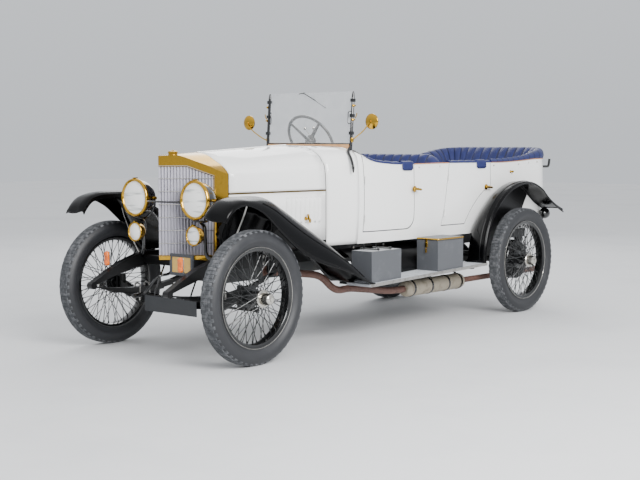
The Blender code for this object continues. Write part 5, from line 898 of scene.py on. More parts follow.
set_shape(tube([at(0, 0.184, 1.3925), at(0, 1.11, 1.4405)], 0.0055), "bonnet_centre_rod", white,
          "chassis",
          slot="white_paint")
dash_line = arch_line(COWL_ARCH, body_half(COCKPIT) - 0.010, 1.424, 24)
dash = prism([at(x, 1.352, z) for x, z in dash_line]
             + [at(-x, 1.352, z) for x, z in reversed(dash_line[1:])],
             (0, 0.016, 0))
set_shape(dash, "dash_board", wood, "chassis", slot="tan_wood", round_off=0.002)
rims, faces = [], []
for x, z, r in ((0.0, 1.300, 0.052), (0.15, 1.285, 0.038), (0.27, 1.270, 0.030),
                (-0.07, 1.20, 0.026), (0.08, 1.20, 0.026)):
    rims.append(spun([(r - 0.006, 0.0), (r, 0.0), (r, 0.007), (r - 0.003, 0.010),
                      (r - 0.006, 0.007)],
                     at(x, 1.368, z), (0, 1, 0), 32, closed=True))
    faces.append(spun([(0.0, 0.004), (r - 0.006, 0.004), (r - 0.006, 0.0), (0.0, 0.0)],
                      at(x, 1.368, z), (0, 1, 0), 32))
set_shape(joined(*rims), "gauge_rims", brass, "chassis", slot="brass")
set_shape(joined(*faces), "gauge_faces", gauge_face, "chassis", slot="glass")


# Tub and doors: white coach-painted panels on a rounded plan with a slight belly, cut by the shut
# lines of four doors on strap hinges. The inner side is lined with blue leather over the boards.
TOP_TABLE = ((0.0, 1.25), (0.094, 1.186), (0.108, 1.135), (0.130, 1.066), (0.197, 1.012),
             (0.312, 1.0), (0.428, 1.004),
             (0.690, 0.997), (0.800, 1.012), (0.901, 1.035), (1.0, 1.035))
TAIL_BEND = 0.300
SHUT_GAP = 0.0045
DOOR_LOW = 0.790
DOOR_TOP = 1.450
DOOR_LIMITS = {"front": (1.432, 2.000, 0.0), "rear": (2.385, 3.050, 0.100)}
WING_CENTRE = (3.260, 0.500)

# Navy leather: deep blue with broad dull highlights that show each pleat.
leather = weathered("navy_blue_leather", "1b2354", "252f69", 0.06, 0.42, 0.58, 0.0018, 0.00035, 0.5,
                    Specular_IOR_Level=0.35)
# Tan piping: a thin warm line between the white panels and the blue leather.
tan_piping = weathered("tan_leather_piping", "b5764a", "96603a", 0.03, 0.4, 0.5, 0.002, 0.0002)
# Unlit panel edges: black, so that the shut lines look thin and dark.
shut_black = weathered("black_shut_edge", "0c0c0d", "161616", 0.1, 0.6, 0.8, 0.004, 0.00005)
# Rubber matting: a flat black floor that leaves the blue leather to stand out.
floor_mat = weathered("black_ribbed_matting", "1a1a1b", "2a2928", 0.08, 0.7, 0.85, 0.003, 0.0006)


def wall_top(distance):
    """Height of the wall's upper edge."""
    return BODY_LOW + (BODY_HIGH - BODY_LOW) * smooth(TOP_TABLE,
                                                      (distance - BODY_START) / (BODY_END
                                                                                 - BODY_START))


def wall_plan(start, stop=None, step=0.03):
    """Spots of the left wall's plan with outward directions, by default to the tail's middle."""
    bend = BODY_END - TAIL_BEND
    last = stop or bend
    count = max(1, round((last - start) / step))
    spots = [Vector((body_half(y), y))
             for y in (start + (last - start) * k / count for k in range(count + 1))]
    if stop is None:
        turns = max(4, round(TAIL_BEND * math.pi / 2 / step))
        spots += [Vector((BODY_HALF_WIDTH - TAIL_BEND + TAIL_BEND * math.cos(a),
                          bend + TAIL_BEND * math.sin(a)))
                  for a in (k * math.pi / 2 / turns for k in range(1, turns + 1))]
        flat = BODY_HALF_WIDTH - TAIL_BEND
        flats = max(4, round(flat / step))
        spots += [Vector((flat * (1 - k / flats), BODY_END)) for k in range(1, flats + 1)]
    outs = []
    for i, spot in enumerate(spots):
        run = (spots[min(i + 1, len(spots) - 1)] - spots[max(i - 1, 0)]).normalized()
        outs.append(Vector((run.y, -run.x)))
    if stop is None:
        outs[-1] = Vector((0.0, 1.0))
    return list(zip(spots, outs))


def cowl_lean(distance, z):
    """How far the wall leans in next to the cowl, to take up its shoulder."""
    fade = max(0.0, 1.0 - (distance - COCKPIT) / 0.20)
    if not fade or z <= HINGE_LEVEL:
        return 0.0
    sides = tuple((up, across) for across, up in reversed(COWL_ARCH))
    across = smooth(sides, min((z - HINGE_LEVEL) / (1.434 - HINGE_LEVEL), 1.0))
    return body_half(COCKPIT) * (1.0 - across) * fade ** 1.5


def carved(shape, operation, *tools):
    """The shape cut by, or kept within, closed tools."""
    holders = []
    for part in (shape, *tools):
        mesh = bpy.data.meshes.new("carving")
        part.to_mesh(mesh)
        part.free()
        holders.append(bpy.data.objects.new("carving", mesh))
        bpy.context.collection.objects.link(holders[-1])
    for tool in holders[1:]:
        cut = holders[0].modifiers.new("cut", "BOOLEAN")
        cut.operation, cut.object, cut.solver = operation, tool, "EXACT"
    result = bmesh.new()
    result.from_object(holders[0], bpy.context.evaluated_depsgraph_get())
    for holder in holders:
        mesh = holder.data
        bpy.data.objects.remove(holder)
        bpy.data.meshes.remove(mesh)
    return result


def door_side(name, grow):
    """Side outline of a door, grown by the shut gap for its opening: (distance, height) pairs."""
    front, rear, slant = DOOR_LIMITS[name]
    low = DOOR_LOW - grow * 1.5
    rise = (DOOR_TOP - DOOR_LOW) / (BODY_HIGH - DOOR_LOW)
    lower = []
    if name == "front":
        radius = 0.090
        for k in range(13):
            a = k * math.pi / 24
            lower.append((rear + grow - radius * (1 - math.cos(a)),
                          low + radius * (1 - math.sin(a))))
    else:
        radius = 0.634 - grow
        start = math.acos((rear + grow - WING_CENTRE[0]) / radius)
        stop = math.pi - math.asin((low - WING_CENTRE[1]) / radius)
        for k in range(17):
            a = start + (stop - start) * k / 16
            lower.append((WING_CENTRE[0] + radius * math.cos(a),
                          WING_CENTRE[1] + radius * math.sin(a)))
    return [(front - grow + slant * rise, DOOR_TOP), (rear + grow, DOOR_TOP), *lower,
            (front - grow, low)]


def across_prism(outline, near, far):
    """A prism across the car from a side outline."""
    return prism([at(near, y, z) for y, z in outline], (far - near, 0, 0))


def lined(shape):
    """Marks the faces that look into the car, for the lining."""
    for face in shape.faces:
        middle = face.calc_center_median()
        hub = Vector((0.0, min(middle.y, 1.70), middle.z))
        inward = (hub - middle).normalized()
        if face.normal.dot(inward) > 0.35 and abs(face.normal.z) < 0.6:
            face.material_index = 1
        elif abs(face.normal.x) < 0.3 and BODY_LOW + 0.01 < middle.z < wall_top(middle.y
                                                                                + 1.83) - 0.004:
            if 1.40 < middle.y + 1.83 < 3.07:
                face.material_index = 2
    return shape


rings = []
for spot, out in wall_plan(COCKPIT + 0.0005):
    top = wall_top(spot.y)
    levels = [BODY_LOW + (top - BODY_LOW) * k / 18 for k in range(19)]
    outer = [spot + out * (BELLY * smooth(SECTION_TABLE, k / 18) - cowl_lean(spot.y, levels[k]))
             for k in range(19)]
    ring = [at(p.x, p.y, z) for p, z in zip(outer, levels)]
    ring += [at(p.x - out.x * WALL, p.y - out.y * WALL, z)
             for p, z in reversed(list(zip(outer, levels)))]
    rings.append(ring)
rings += [[Vector((-p.x, p.y, p.z)) for p in ring] for ring in reversed(rings[:-1])]
walls = skin(rings, around=True, caps=True)
for name, (front, rear, _) in DOOR_LIMITS.items():
    blank = across_prism(door_side(name, 0.0), 0.380, 0.700)
    outer = body_half(front)
    wedge = prism([at(0.36, front - 0.05, 0.74), at(outer, front - 0.05, 0.74),
                   at(outer, front - 0.05, DOOR_LOW),
                   at(0.36, front - 0.05, DOOR_LOW + (outer - 0.36) * 0.25)],
                  (0, rear - front + 0.05, 0))
    door = carved(carved(walls.copy(), "INTERSECT", blank), "DIFFERENCE", wedge)
    both_sides(lined(door), f"door_{name}_panel_" + "{}", (white, leather, shut_black),
               name + "_door_{}",
               (f"door_{name}_" + "{}",), slot="white_paint", crease=30.0, round_off=0.0012)
ways = [across_prism(door_side(name, SHUT_GAP), side * 0.380, side * 0.700)
        for name in DOOR_LIMITS for side in (1, -1)]
tub = lined(carved(walls, "DIFFERENCE", *ways))
set_shape(tub, "tub_panels", (white, leather, shut_black), "chassis", ("body_tub",),
          slot="white_paint", crease=30.0,
          round_off=0.0012)
floor_line = [spot - out * (BELLY + 0.030) for spot, out in wall_plan(1.15)]
floor_plan = [at(p.x, p.y, 0.6905) for p in floor_line] + [at(-p.x, p.y, 0.6905)
                                                           for p in reversed(floor_line[:-1])]
set_shape(prism(floor_plan, (0, 0, 0.026)), "floor_boards", floor_mat, "chassis",
          slot="white_paint")
for start, stop in ((2.006, 2.470), (3.060, None)):
    plan = wall_plan(start, stop, 0.04)
    line = [at(p.x + o.x * 0.002, p.y + o.y * 0.002, wall_top(p.y) + 0.001) for p, o in plan]
    if stop is None:
        line += [Vector((-p.x, p.y, p.z)) for p in reversed(line[:-1])]
        set_shape(tube(line, 0.0038, sides=8, bend=1), "edge_piping_rear", tan_piping, "chassis",
                  slot="tan_wood")
    else:
        both_sides(tube(line, 0.0038, sides=8, bend=1), "edge_piping_side_{}", tan_piping,
                   "chassis", slot="tan_wood")
edge_line = [at(p.x + o.x * (0.001 - cowl_lean(p.y, wall_top(p.y))), p.y, wall_top(p.y) + 0.0015)
             for p, o in wall_plan(COCKPIT + 0.004, 1.4265, 0.01)]
both_sides(tube(edge_line, 0.0045, sides=8, bend=1), "cowl_edge_strip_{}", japan, "chassis",
           slot="black_paint")
for name, (front, _, slant) in DOOR_LIMITS.items():
    barrels = []
    for share in (0.20, 0.78):
        z = DOOR_LOW + (BODY_HIGH - DOOR_LOW) * share
        x = body_half(front + slant) + BELLY / 2 + 0.009
        y = front - 0.003 + slant * share
        lean = Vector((0, slant / (BODY_HIGH - DOOR_LOW), 1)).normalized()
        barrels.append(tube([at(x, y, z) - lean * 0.030, at(x, y, z) + lean * 0.030], 0.0055,
                            sides=8))
    both_sides(joined(*barrels), f"door_{name}_hinge_barrels_" + "{}", white, name + "_door_{}",
               slot="white_paint")
for name, (x, y, z) in (("front", (0.578, 1.984, 1.096)), ("rear", (0.598, 2.985, 1.083))):
    boss = spun([(0.0, 0.0), (0.025, 0.0), (0.023, 0.005), (0.012, 0.010), (0.010, 0.014),
                 (0.010, 0.034), (0.0, 0.034)],
                at(x - 0.006, y, z), (1, 0, 0), 20)
    bar = [(0.0, -0.046), (0.007, -0.044), (0.0105, -0.033), (0.0085, -0.012), (0.0115, 0.0),
           (0.0085, 0.012),
           (0.0105, 0.033), (0.007, 0.044), (0.0, 0.046)]
    both_sides(joined(boss, spun(bar, at(x + 0.028, y, z), (0, 1, -0.12), 16)),
               f"door_handle_{name}_" + "{}", brass,
               name + "_door_{}", slot="brass")
pegs = [spun([(0.0, -0.004), (0.007, -0.002), (0.007, 0.003), (0.003, 0.008), (0.0, 0.009)],
             at(body_half(y) + 0.001, y, wall_top(y) - 0.026), (1, 0, 0), 12)
        for y in (2.067, 2.350, 3.102, 3.500, 3.669, 3.815)]
both_sides(joined(*pegs), "cover_studs_{}", bare_steel, "chassis", slot="black_paint")
knob = spun([(0.0, -0.004), (0.013, -0.002), (0.013, 0.003), (0.007, 0.008), (0.007, 0.018),
             (0.011, 0.024),
             (0.008, 0.031), (0.0, 0.033)], at(0.592, 3.369, 1.205), (1, 0, 0), 18)
both_sides(knob, "hood_strap_knob_{}", brass, "chassis", slot="brass")


# Leather: a low bound edge along each door, tabs over the latches, two padded seat backs sewn in
# pleats, the rear one carried round the tail as a coaming, and two pleated cushions on boxed bases.
PLEAT, PLEAT_RISE, SEAM_DEPTH, SEAM_HALF = 0.088, 0.0060, 0.005, 0.0045
EDGE_PLEAT = 0.094
TAB_WIDTH = 0.132
TAB_PROFILE = ((-0.060, 0.006), (-0.045, 0.0215), (-0.018, 0.026), (0.004, 0.018), (0.0085, 0.0),
               (0.0100, -0.024),
               (0.0110, -0.048))
HALF_BACK, BACK_MIDDLE = 0.520, 2.33
SEAT_LOW, SEAT_HIGH, MOST_SWELL = 0.860, 0.995, 0.020
FRONT_BACK_TABLE = ((0.0, (2.225, 1.00)), (1.0, (2.250, 1.12)), (2.0, (2.285, 1.24)),
                    (3.0, (2.330, 1.330)),
                    (4.0, (2.372, 1.362)), (5.0, (2.415, 1.352)), (6.0, (2.432, 1.300)),
                    (7.0, (2.425, 1.10)),
                    (8.0, (2.400, 0.735)))

# Leather in a seam's shadow: a dark blue line that draws each sewn pleat.
seam_leather = weathered("shadowed_leather_seam", "0d1233", "141b45", 0.03, 0.6, 0.8, 0.002, 0.0002)


def pleated(along, pitch=PLEAT):
    """How far a pleated pad stands out at a place across its sewn lines."""
    share = (along / pitch) % 1.0
    near = min(share, 1.0 - share) * pitch
    return PLEAT_RISE * math.sin(math.pi * share) - SEAM_DEPTH * math.exp(-(near / SEAM_HALF) ** 2)


def along_table(table, value, which):
    """One of the paired values of a table, along a soft curve."""
    return smooth(tuple((key, pair[which]) for key, pair in table), value)


def seamed(shape, seams):
    """Marks the faces along sewn lines: (place, direction across) pairs."""
    for face in shape.faces:
        middle = face.calc_center_median()
        if any(abs((middle - spot).dot(run)) < 0.0042 and (middle - spot).xy.length < 0.42
               for spot, run in seams):
            face.material_index = 1
    return shape


def set_pad(shape, name, body, stands_for=(), fill=0.6, **looks):
    """A padded leather piece."""
    made = set_shape(shape, name, (leather, seam_leather), body, stands_for, slot="blue_leather",
                     crease=70.0, **looks)
    return made


for name, (front, rear, slant) in DOOR_LIMITS.items():
    start = front + slant * (1.30 - DOOR_LOW) / (BODY_HIGH - DOOR_LOW)
    rings, run = [], 0.0
    plan = wall_plan(start + 0.002, rear - 0.002, 0.006)
    for i, (spot, out) in enumerate(plan):
        if i:
            run += (spot - plan[i - 1][0]).length
        ends = min(1.0, 0.35 + (spot.y - plan[0][0].y) / 0.10) if name == "front" else 1.0
        ring = []
        for k in range(13):
            turn = math.pi * k / 12
            swell = pleated(run - 0.020 * k / 12 * 4, EDGE_PLEAT) * 0.45
            side = 0.026 * math.cos(turn)
            reach = -WALL / 2 - 0.004 + side * (1 + swell * 10)
            lift = (0.018 * math.sin(turn) ** 0.8 * ends) + swell * math.sin(turn)
            middle = spot + out * reach
            ring.append(at(middle.x, middle.y, wall_top(spot.y) + 0.0006 + max(lift, 0.0)))
        rings.append(ring)
    pad = skin(rings, around=True, caps=True)
    for shape, side in ((pad.copy(), "left"), (mirror_image(pad), "right")):
        set_pad(shape, f"door_{name}_bound_edge_{side}", f"{name}_door_{side}",
                (f"roll_{name}_{side}",))

for name, centre in (("front", 1.915), ("rear", 2.915)):
    rows = []
    for k in range(9):
        y = centre - TAB_WIDTH / 2 + TAB_WIDTH * k / 8
        half = 1.0 - (abs(k - 4) / 4) ** 8 * 0.25
        row = []
        for out, drop in TAB_PROFILE:
            if drop == TAB_PROFILE[-1][1]:
                drop *= half
            row.append(at(body_half(y) + out + (0.0005 if drop < 0 else 0), y, wall_top(y) + drop))
        rows.append(row)
    tab = skin(rows, facing=(1, 0, 0.6))
    for shape, side in ((tab.copy(), "left"), (mirror_image(tab), "right")):
        flap = set_shape(shape, f"latch_tab_{name}_{side}", leather, f"{name}_door_{side}",
                         slot="blue_leather",
                         sheet=0.003, crease=60.0)

rings = []
for k in range(209):
    x = HALF_BACK * (k / 104 - 1)
    edge = max(abs(x) - 0.40, 0.0) / 0.12
    half = min(1.0, (HALF_BACK + 0.004 - abs(x)) / 0.03)
    ring = []
    for j in range(33):
        value = 8.0 * j / 32
        y, z = along_table(FRONT_BACK_TABLE, value, 0), along_table(FRONT_BACK_TABLE, value, 1)
        swell = pleated(x) * min(1.0, max(4.4 - value, 0.0)) * min(1.0, value * 1.5)
        ring.append(at(x, BACK_MIDDLE
                       + (y - BACK_MIDDLE) * (0.55 + 0.45 * math.sqrt(max(half, 0.0)))
                       - swell * (0.9 if value < 3.5 else 0.2) - 0.030 * edge ** 2 * (value < 3.5),
                       z + swell * (0.2 if value < 3.0 else 0.9)
                       - 0.055 * edge ** 2 * max(z - 1.1, 0.0) / 0.26))
    rings.append(ring)
seams = [(at(PLEAT * k, BACK_MIDDLE, 1.2), Vector((1, 0, 0))) for k in range(-5, 6)]
back = seamed(skin(rings, around=True, caps=True), seams)
for face in back.faces:
    if face.calc_center_median().y > at(0, 2.40, 0).y or face.calc_center_median().z < 1.02:
        face.material_index = 0
set_pad(back, "front_seat_back", "chassis", ("seat_front",))

REAR_BACK_TABLE = ((0.0, (-0.250, 1.000)), (1.0, (-0.215, 1.120)), (2.0, (-0.165, 1.240)),
                   (3.0, (-0.110, 1.340)),
                   (4.0, (-0.062, 1.398)), (5.0, (-0.030, 1.412)), (6.0, (0.000, 1.392)),
                   (7.0, (0.010, 1.345)),
                   (8.0, (0.002, 1.3115)))
RISE_TABLE = ((3.056, 0.030), (3.40, 0.036), (3.67, 0.050), (3.90, 0.082), (4.02, 0.096),
              (4.14, 0.104))
rings, run, seams = [], 0.0, []
plan = wall_plan(3.056, None, 0.0058)
for i, (spot, out) in enumerate(plan):
    if i:
        run += (spot - plan[i - 1][0]).length
        if run % PLEAT < (run - (spot - plan[i - 1][0]).length) % PLEAT:
            seams.append((at(spot.x, spot.y, 1.3), Vector((out.y, -out.x, 0))))
    rise = smooth(RISE_TABLE, spot.y)
    depth = smooth(((3.056, 0.24), (3.35, 0.26), (3.60, 0.48), (3.84, 1.0), (4.14, 1.0)), spot.y)
    base = wall_top(spot.y)
    ring = []
    for j in range(29):
        value = 8.0 * j / 28
        reach, level = along_table(REAR_BACK_TABLE, value, 0), along_table(REAR_BACK_TABLE, value,
                                                                           1)
        over = (level - 1.3106) / 0.104
        z = base + over * rise if level > 1.3106 else base + (level - 1.3106)
        swell = pleated(run) * min(1.0, max(5.0 - value, 0.0)) * min(1.0, value * 1.5)
        reach = reach * depth if reach < 0 else reach
        middle = spot + out * (reach - swell * (1.0 if value < 3.5 else 0.25))
        ring.append(at(middle.x, middle.y, z + swell * (0.15 if value < 3.0 else 0.9)))
    ring += [at(*(spot - out * (WALL + 0.003)), base + 0.0006),
             at(*(spot - out * (WALL + 0.003)), 1.000)]
    rings.append(ring)
rings += [[Vector((-p.x, p.y, p.z)) for p in ring] for ring in reversed(rings[:-1])]
seams += [(Vector((-spot.x, spot.y, spot.z)), Vector((-across.x, across.y, 0)))
          for spot, across in seams]
coaming = seamed(skin(rings, around=True, caps=True), seams)
set_pad(coaming, "rear_seat_back_and_coaming", "chassis", ("seat_rear",))


def cushion(front, rear, inset):
    """A seat cushion blown up by cloth simulation, then pleated."""
    low, high = SEAT_LOW, SEAT_HIGH
    half_front, half_rear = body_half(front) - inset, min(body_half(rear), 0.56) - inset
    shape = prism([at(half_front, front, low), at(half_rear, rear, low), at(-half_rear, rear, low),
                   at(-half_front, front, low)], (0, 0, high - low))
    mesh = bpy.data.meshes.new("cushion")
    shape.to_mesh(mesh)
    shape.free()
    holder = bpy.data.objects.new("cushion", mesh)
    bpy.context.collection.objects.link(holder)
    grain = holder.modifiers.new("grain", "REMESH")
    grain.mode, grain.voxel_size = "VOXEL", 0.012
    graph = bpy.context.evaluated_depsgraph_get()
    fine = bpy.data.meshes.new_from_object(holder.evaluated_get(graph))
    holder.modifiers.clear()
    holder.data = fine
    rest = [vertex.co.copy() for vertex in fine.vertices]
    blown = rest
    cloth = holder.modifiers.new("cloth", "CLOTH")
    cloth.settings.use_pressure = True
    cloth.settings.uniform_pressure_force = 4.0
    cloth.settings.effector_weights.gravity = 0.0
    scene = bpy.context.scene
    for number in range(1, 21):
        scene.frame_set(number)
    graph = bpy.context.evaluated_depsgraph_get()
    blown = [vertex.co.copy() for vertex in holder.evaluated_get(graph).data.vertices]
    holder.modifiers.clear()
    scene.frame_set(1)
    shape = bmesh.new()
    shape.from_mesh(holder.data)
    for vertex in shape.verts:
        move = blown[vertex.index] - rest[vertex.index]
        if move.length >= MOST_SWELL:
            move = move.normalized() * MOST_SWELL
        vertex.co = rest[vertex.index] + move
        if vertex.co.z > high - 0.06:
            vertex.co.z += pleated(vertex.co.x) * 0.9
        vertex.co.z = max(vertex.co.z, low)
    bpy.data.objects.remove(holder)
    return shape


set_pad(cushion(1.955, 2.235, 0.095), "front_seat_cushion", "chassis", divide=1)
set_pad(cushion(3.330, 3.800, 0.105), "rear_seat_cushion", "chassis", divide=1)
for name, front, rear in (("front", 1.960, 2.390), ("rear", 3.335, 3.960)):
    half = min(body_half(front), body_half(rear)) - (0.105 if name == "front" else 0.125)
    base = block(at(-half, front, 0.718), at(half, rear, 0.858))
    facing = min(base.faces, key=lambda face: face.calc_center_median().y)
    bmesh.ops.inset_region(base, faces=[facing], thickness=0.022, depth=0.0)
    bmesh.ops.inset_region(base, faces=[facing], thickness=0.004, depth=-0.006)
    set_shape(base, f"{name}_seat_base", leather, "chassis", slot="blue_leather", round_off=0.004)


# Windscreen: a frameless plate of glass in black posts that stand on the cowl and are stayed down
# its sides, over a tan wooden board, with brass clamps, a wiper and two brass-backed round mirrors.
SCREEN_PLACE, SCREEN_LEAN = 1.376, 0.026
SCREEN_SILL, SCREEN_RISE = 1.500, 0.346
SCREEN_LOW, SCREEN_HIGH = 1.450, 1.842
PANE_HALF, PANE_LOW = 0.408, 1.457
TOP_LIMIT = 1.8455
POST_X = 0.423
# Screen glass: a faint white pane whose mottled sheen is a painted reflection in its colour,
# through which the seats show.
pane_glass, pane_tree, pane_shader, pane_place = material("screen_glass", 0.06, Coat_Weight=0.5,
                                                          Coat_Roughness=0.03,
                                                          Alpha=0.10)
# Painted reflection: a mottled white put into the glass's colour.
pane_sheen = add(pane_tree, "TexNoise",
             {"Vector": pane_place, "Scale": 14.0, "Detail": 5.0, "Roughness": 0.7})
pane_sheen_tone = add(pane_tree, "ValToRGB", {"Fac": pane_sheen.outputs["Fac"]})
for stop, position, tone in zip(pane_sheen_tone.color_ramp.elements, (0.35, 0.62),
                                ("d3d8db", "ffffff")):
    stop.position, stop.color = position, linear(tone)
pane_tree.links.new(pane_sheen_tone.outputs["Color"], pane_shader.inputs["Base Color"])
# Silvered glass: a clear mirror disc that takes the colour of what it faces.
mirror_glass = weathered("mirror_glass", "e8eaec", "dfe2e4", 0.05, 0.02, 0.05, 0.01, 0.0,
                         metallic=1.0)


def screen_at(x, z, forward=0.0):
    """A place on the leaning screen."""
    return at(x, SCREEN_PLACE + SCREEN_LEAN * (z - SCREEN_SILL) / SCREEN_RISE - forward, z)


corners = ((-PANE_HALF, PANE_LOW), (PANE_HALF, PANE_LOW), (PANE_HALF, SCREEN_HIGH),
           (-PANE_HALF, SCREEN_HIGH))
pane = prism([screen_at(x, z, 0.0025) for x, z in corners], (0, 0.005, 0))
set_shape(pane, "windscreen_pane", pane_glass, "chassis", ("windscreen_glass",), slot="glass",
          round_off=0.001)

posts, clamps = [], []
for side in (1, -1):
    x = side * POST_X
    posts.append(tube([screen_at(x, z) for z in (1.400, 1.44, 1.80)], 0.0115, bend=1))
    posts.append(spun([(0.0115, 0.0), (0.009, 0.025), (0.004, 0.043), (0.0, 0.044)],
                      screen_at(x, 1.799), (0, 0.07, 1), 16))
    posts.append(tube([screen_at(x, 1.430), at(side * 0.425, 1.330, 1.396),
                       at(side * 0.474, 1.310, 1.345),
                       at(side * 0.502, 1.300, 1.285)], 0.0105, bend=3))
    posts.append(spun([(0.0, -0.052), (0.006, -0.045), (0.0115, -0.012), (0.0105, 0.004),
                       (0.0, 0.006)],
                      at(side * 0.503, 1.299, 1.285), (side * -0.10, 0.02, 1), 12))
    for z in (1.53, 1.66, 1.775):
        posts.append(block(screen_at(x - 0.014, z - 0.012, 0.015),
                           screen_at(x + 0.014, z + 0.012, -0.013)))
    posts.append(tube([screen_at(x - side * 0.012, 1.600, 0.006),
                       screen_at(x - side * 0.032, 1.603, 0.010),
                       screen_at(x - side * 0.032, 1.690, 0.010),
                       screen_at(x - side * 0.012, 1.693, 0.006)], 0.0035, sides=6))
    for z in (1.63, 1.735):
        clamps.append(spun([(0.0, 0.0), (0.010, 0.0), (0.011, 0.006), (0.006, 0.010),
                            (0.005, 0.022), (0.0, 0.024)],
                           screen_at(x + side * 0.008, z, 0.004), (side, 0, 0), 14))
    clamps.append(tube([screen_at(x + side * 0.026, 1.642), screen_at(x + side * 0.038, 1.655),
                        screen_at(x + side * 0.044, 1.680)], 0.0035, sides=6))
    clamps.append(spun([(0.0, -0.016), (0.013, -0.016), (0.015, 0.0), (0.013, 0.016), (0.0, 0.016)],
                       at(x + side * 0.004, 1.378, 1.478), (0, 0, 1), 16))
posts.append(tube([screen_at(-POST_X, SCREEN_LOW), screen_at(POST_X, SCREEN_LOW)], 0.007, sides=8))
set_shape(joined(*posts), "windscreen_posts_and_stays", japan, "chassis", ("windscreen_frame",),
          slot="black_paint")
set_shape(joined(*clamps), "windscreen_brass_clamps", brass, "chassis", slot="brass")
wiper = joined(tube([screen_at(-0.090, 1.838, 0.012), screen_at(-0.060, 1.838, 0.012),
                     screen_at(0.020, 1.800, 0.012),
                     screen_at(0.060, 1.780, 0.010)], 0.004, sides=6),
               tube([screen_at(-0.045, 1.850, 0.010), screen_at(-0.110, 1.835, 0.010)], 0.005,
                    sides=6),
               tube([screen_at(0.040, 1.788, 0.008), screen_at(0.166, 1.721, 0.006)], 0.002,
                    sides=6))
for vertex in wiper.verts:
    vertex.co.z = min(vertex.co.z, TOP_LIMIT)
set_shape(wiper, "wiper", japan, "chassis", slot="black_paint")

board_line = [(x, z - 0.002) for x, z in arch_line(COWL_ARCH, body_half(SCREEN_PLACE), 1.434, 60)
              if x < 0.41]
board_shape = prism([at(x, 1.358, z + 0.003) for x, z in board_line]
                    + [at(0.410, 1.358, 1.446), at(-0.410, 1.358, 1.446)]
                    + [at(-x, 1.358, z + 0.003) for x, z in reversed(board_line[1:])],
                    (0, 0.016, 0))
set_shape(board_shape, "windscreen_wooden_board", wood, "chassis", ("windscreen_board",),
          slot="tan_wood",
          round_off=0.0015)

disc = [(0.0, -0.004), (0.050, -0.004), (0.054, -0.005), (0.058, -0.002), (0.058, 0.006),
        (0.052, 0.012),
        (0.038, 0.019), (0.020, 0.023), (0.010, 0.0235), (0.009, 0.029), (0.0, 0.029)]
mirror_at = at(0.623, 1.372, 1.615)
arm = tube([at(0.428, 1.374, 1.472), at(0.470, 1.358, 1.492), at(0.560, 1.350, 1.545),
            mirror_at + Vector((-0.012, -0.030, -0.020)),
            mirror_at + Vector((0, -0.024, 0))], 0.0045, sides=8, bend=3)
both_sides(joined(spun(disc, mirror_at, (0, -1, 0), 40), arm), "round_mirror_{}", brass, "chassis",
           ("mirror_{}",),
                   slot="brass")
both_sides(spun([(0.0, 0.0), (0.049, 0.0), (0.049, 0.0012), (0.0, 0.0012)],
                mirror_at + Vector((0, 0.0045, 0)), (0, 1, 0), 40),
           "mirror_glass_{}", mirror_glass, "chassis", slot="glass")


# Steering: a black composition rim on four flattened spokes, with a boss, two control levers on a
# nickel quadrant and a black column that leans down through the cowl.
STEER_CENTRE = at(-0.220, 1.660, 1.478)
STEER_LINE = Vector((0.0, math.cos(math.radians(30)), math.sin(math.radians(30))))
STEER_RADIUS = 0.215
# Black composition: a smooth greenish black that hands have polished.
rim_black = weathered("black_composition_rim", "1d211e", "2e332f", 0.04, 0.3, 0.45, 0.003, 0.0001,
                      Coat_Weight=0.3)

ring = oval(STEER_RADIUS, 0.0, 0.0125, 0.0105, 12)
wheel_parts = [spun(ring, STEER_CENTRE, STEER_LINE, 96, closed=True),
               spun([(0.0, -0.040), (0.030, -0.040), (0.034, -0.030), (0.034, -0.006),
                     (0.026, 0.002), (0.018, 0.006),
                     (0.0, 0.007)], STEER_CENTRE, STEER_LINE, 32)]
across = Vector((1, 0, 0))
upward = STEER_LINE.cross(across)
for k in range(4):
    out = across * math.cos(k * math.pi / 2 + math.pi / 4) + upward * math.sin(k * math.pi / 2
                                                                               + math.pi / 4)
    wide = STEER_LINE.cross(out)
    rows = []
    for step in range(9):
        share = step / 8
        reach = 0.022 + (STEER_RADIUS - 0.024) * share
        sunk = -0.020 * (1 - share) ** 1.5
        half, thick = 0.018 - 0.008 * share, 0.007
        spot = STEER_CENTRE + out * reach + STEER_LINE * sunk
        rows.append([spot + wide * half * math.cos(a) + STEER_LINE * thick * math.sin(a)
                     for a in (j * math.tau / 10 for j in range(10))])
    wheel_parts.append(skin(rows, around=True, caps=True))
set_shape(joined(*wheel_parts), "steering_wheel_rim_and_spokes", rim_black, "hand_wheel",
          ("steering_wheel",),
          slot="black_paint")
levers = [spun([(0.020, 0.010), (0.040, 0.010), (0.040, 0.016), (0.020, 0.018)], STEER_CENTRE,
               STEER_LINE, 32, closed=True)]
for swing in (-1.05, -2.0):
    out = across * math.cos(swing) - upward * math.sin(swing)
    out = out if out.z > 0 else -out
    tip = STEER_CENTRE + out * 0.100 + STEER_LINE * 0.034
    levers.append(tube([STEER_CENTRE + STEER_LINE * 0.014,
                        STEER_CENTRE + out * 0.04 + STEER_LINE * 0.024, tip], 0.003, sides=6))
    levers.append(spun([(0.0, -0.012), (0.009, -0.009), (0.012, 0.0), (0.009, 0.009), (0.0, 0.012)],
                       tip, STEER_LINE, 12))
set_shape(joined(*levers), "steering_levers", nickel, "hand_wheel", slot="black_paint")
column = spun([(0.0, -0.900), (0.019, -0.900), (0.019, -0.060), (0.024, -0.055), (0.024, -0.043),
               (0.0, -0.043)],
              STEER_CENTRE, STEER_LINE, 24)
set_shape(column, "steering_column_tube", japan, "chassis", ("steering_column",),
          slot="black_paint")


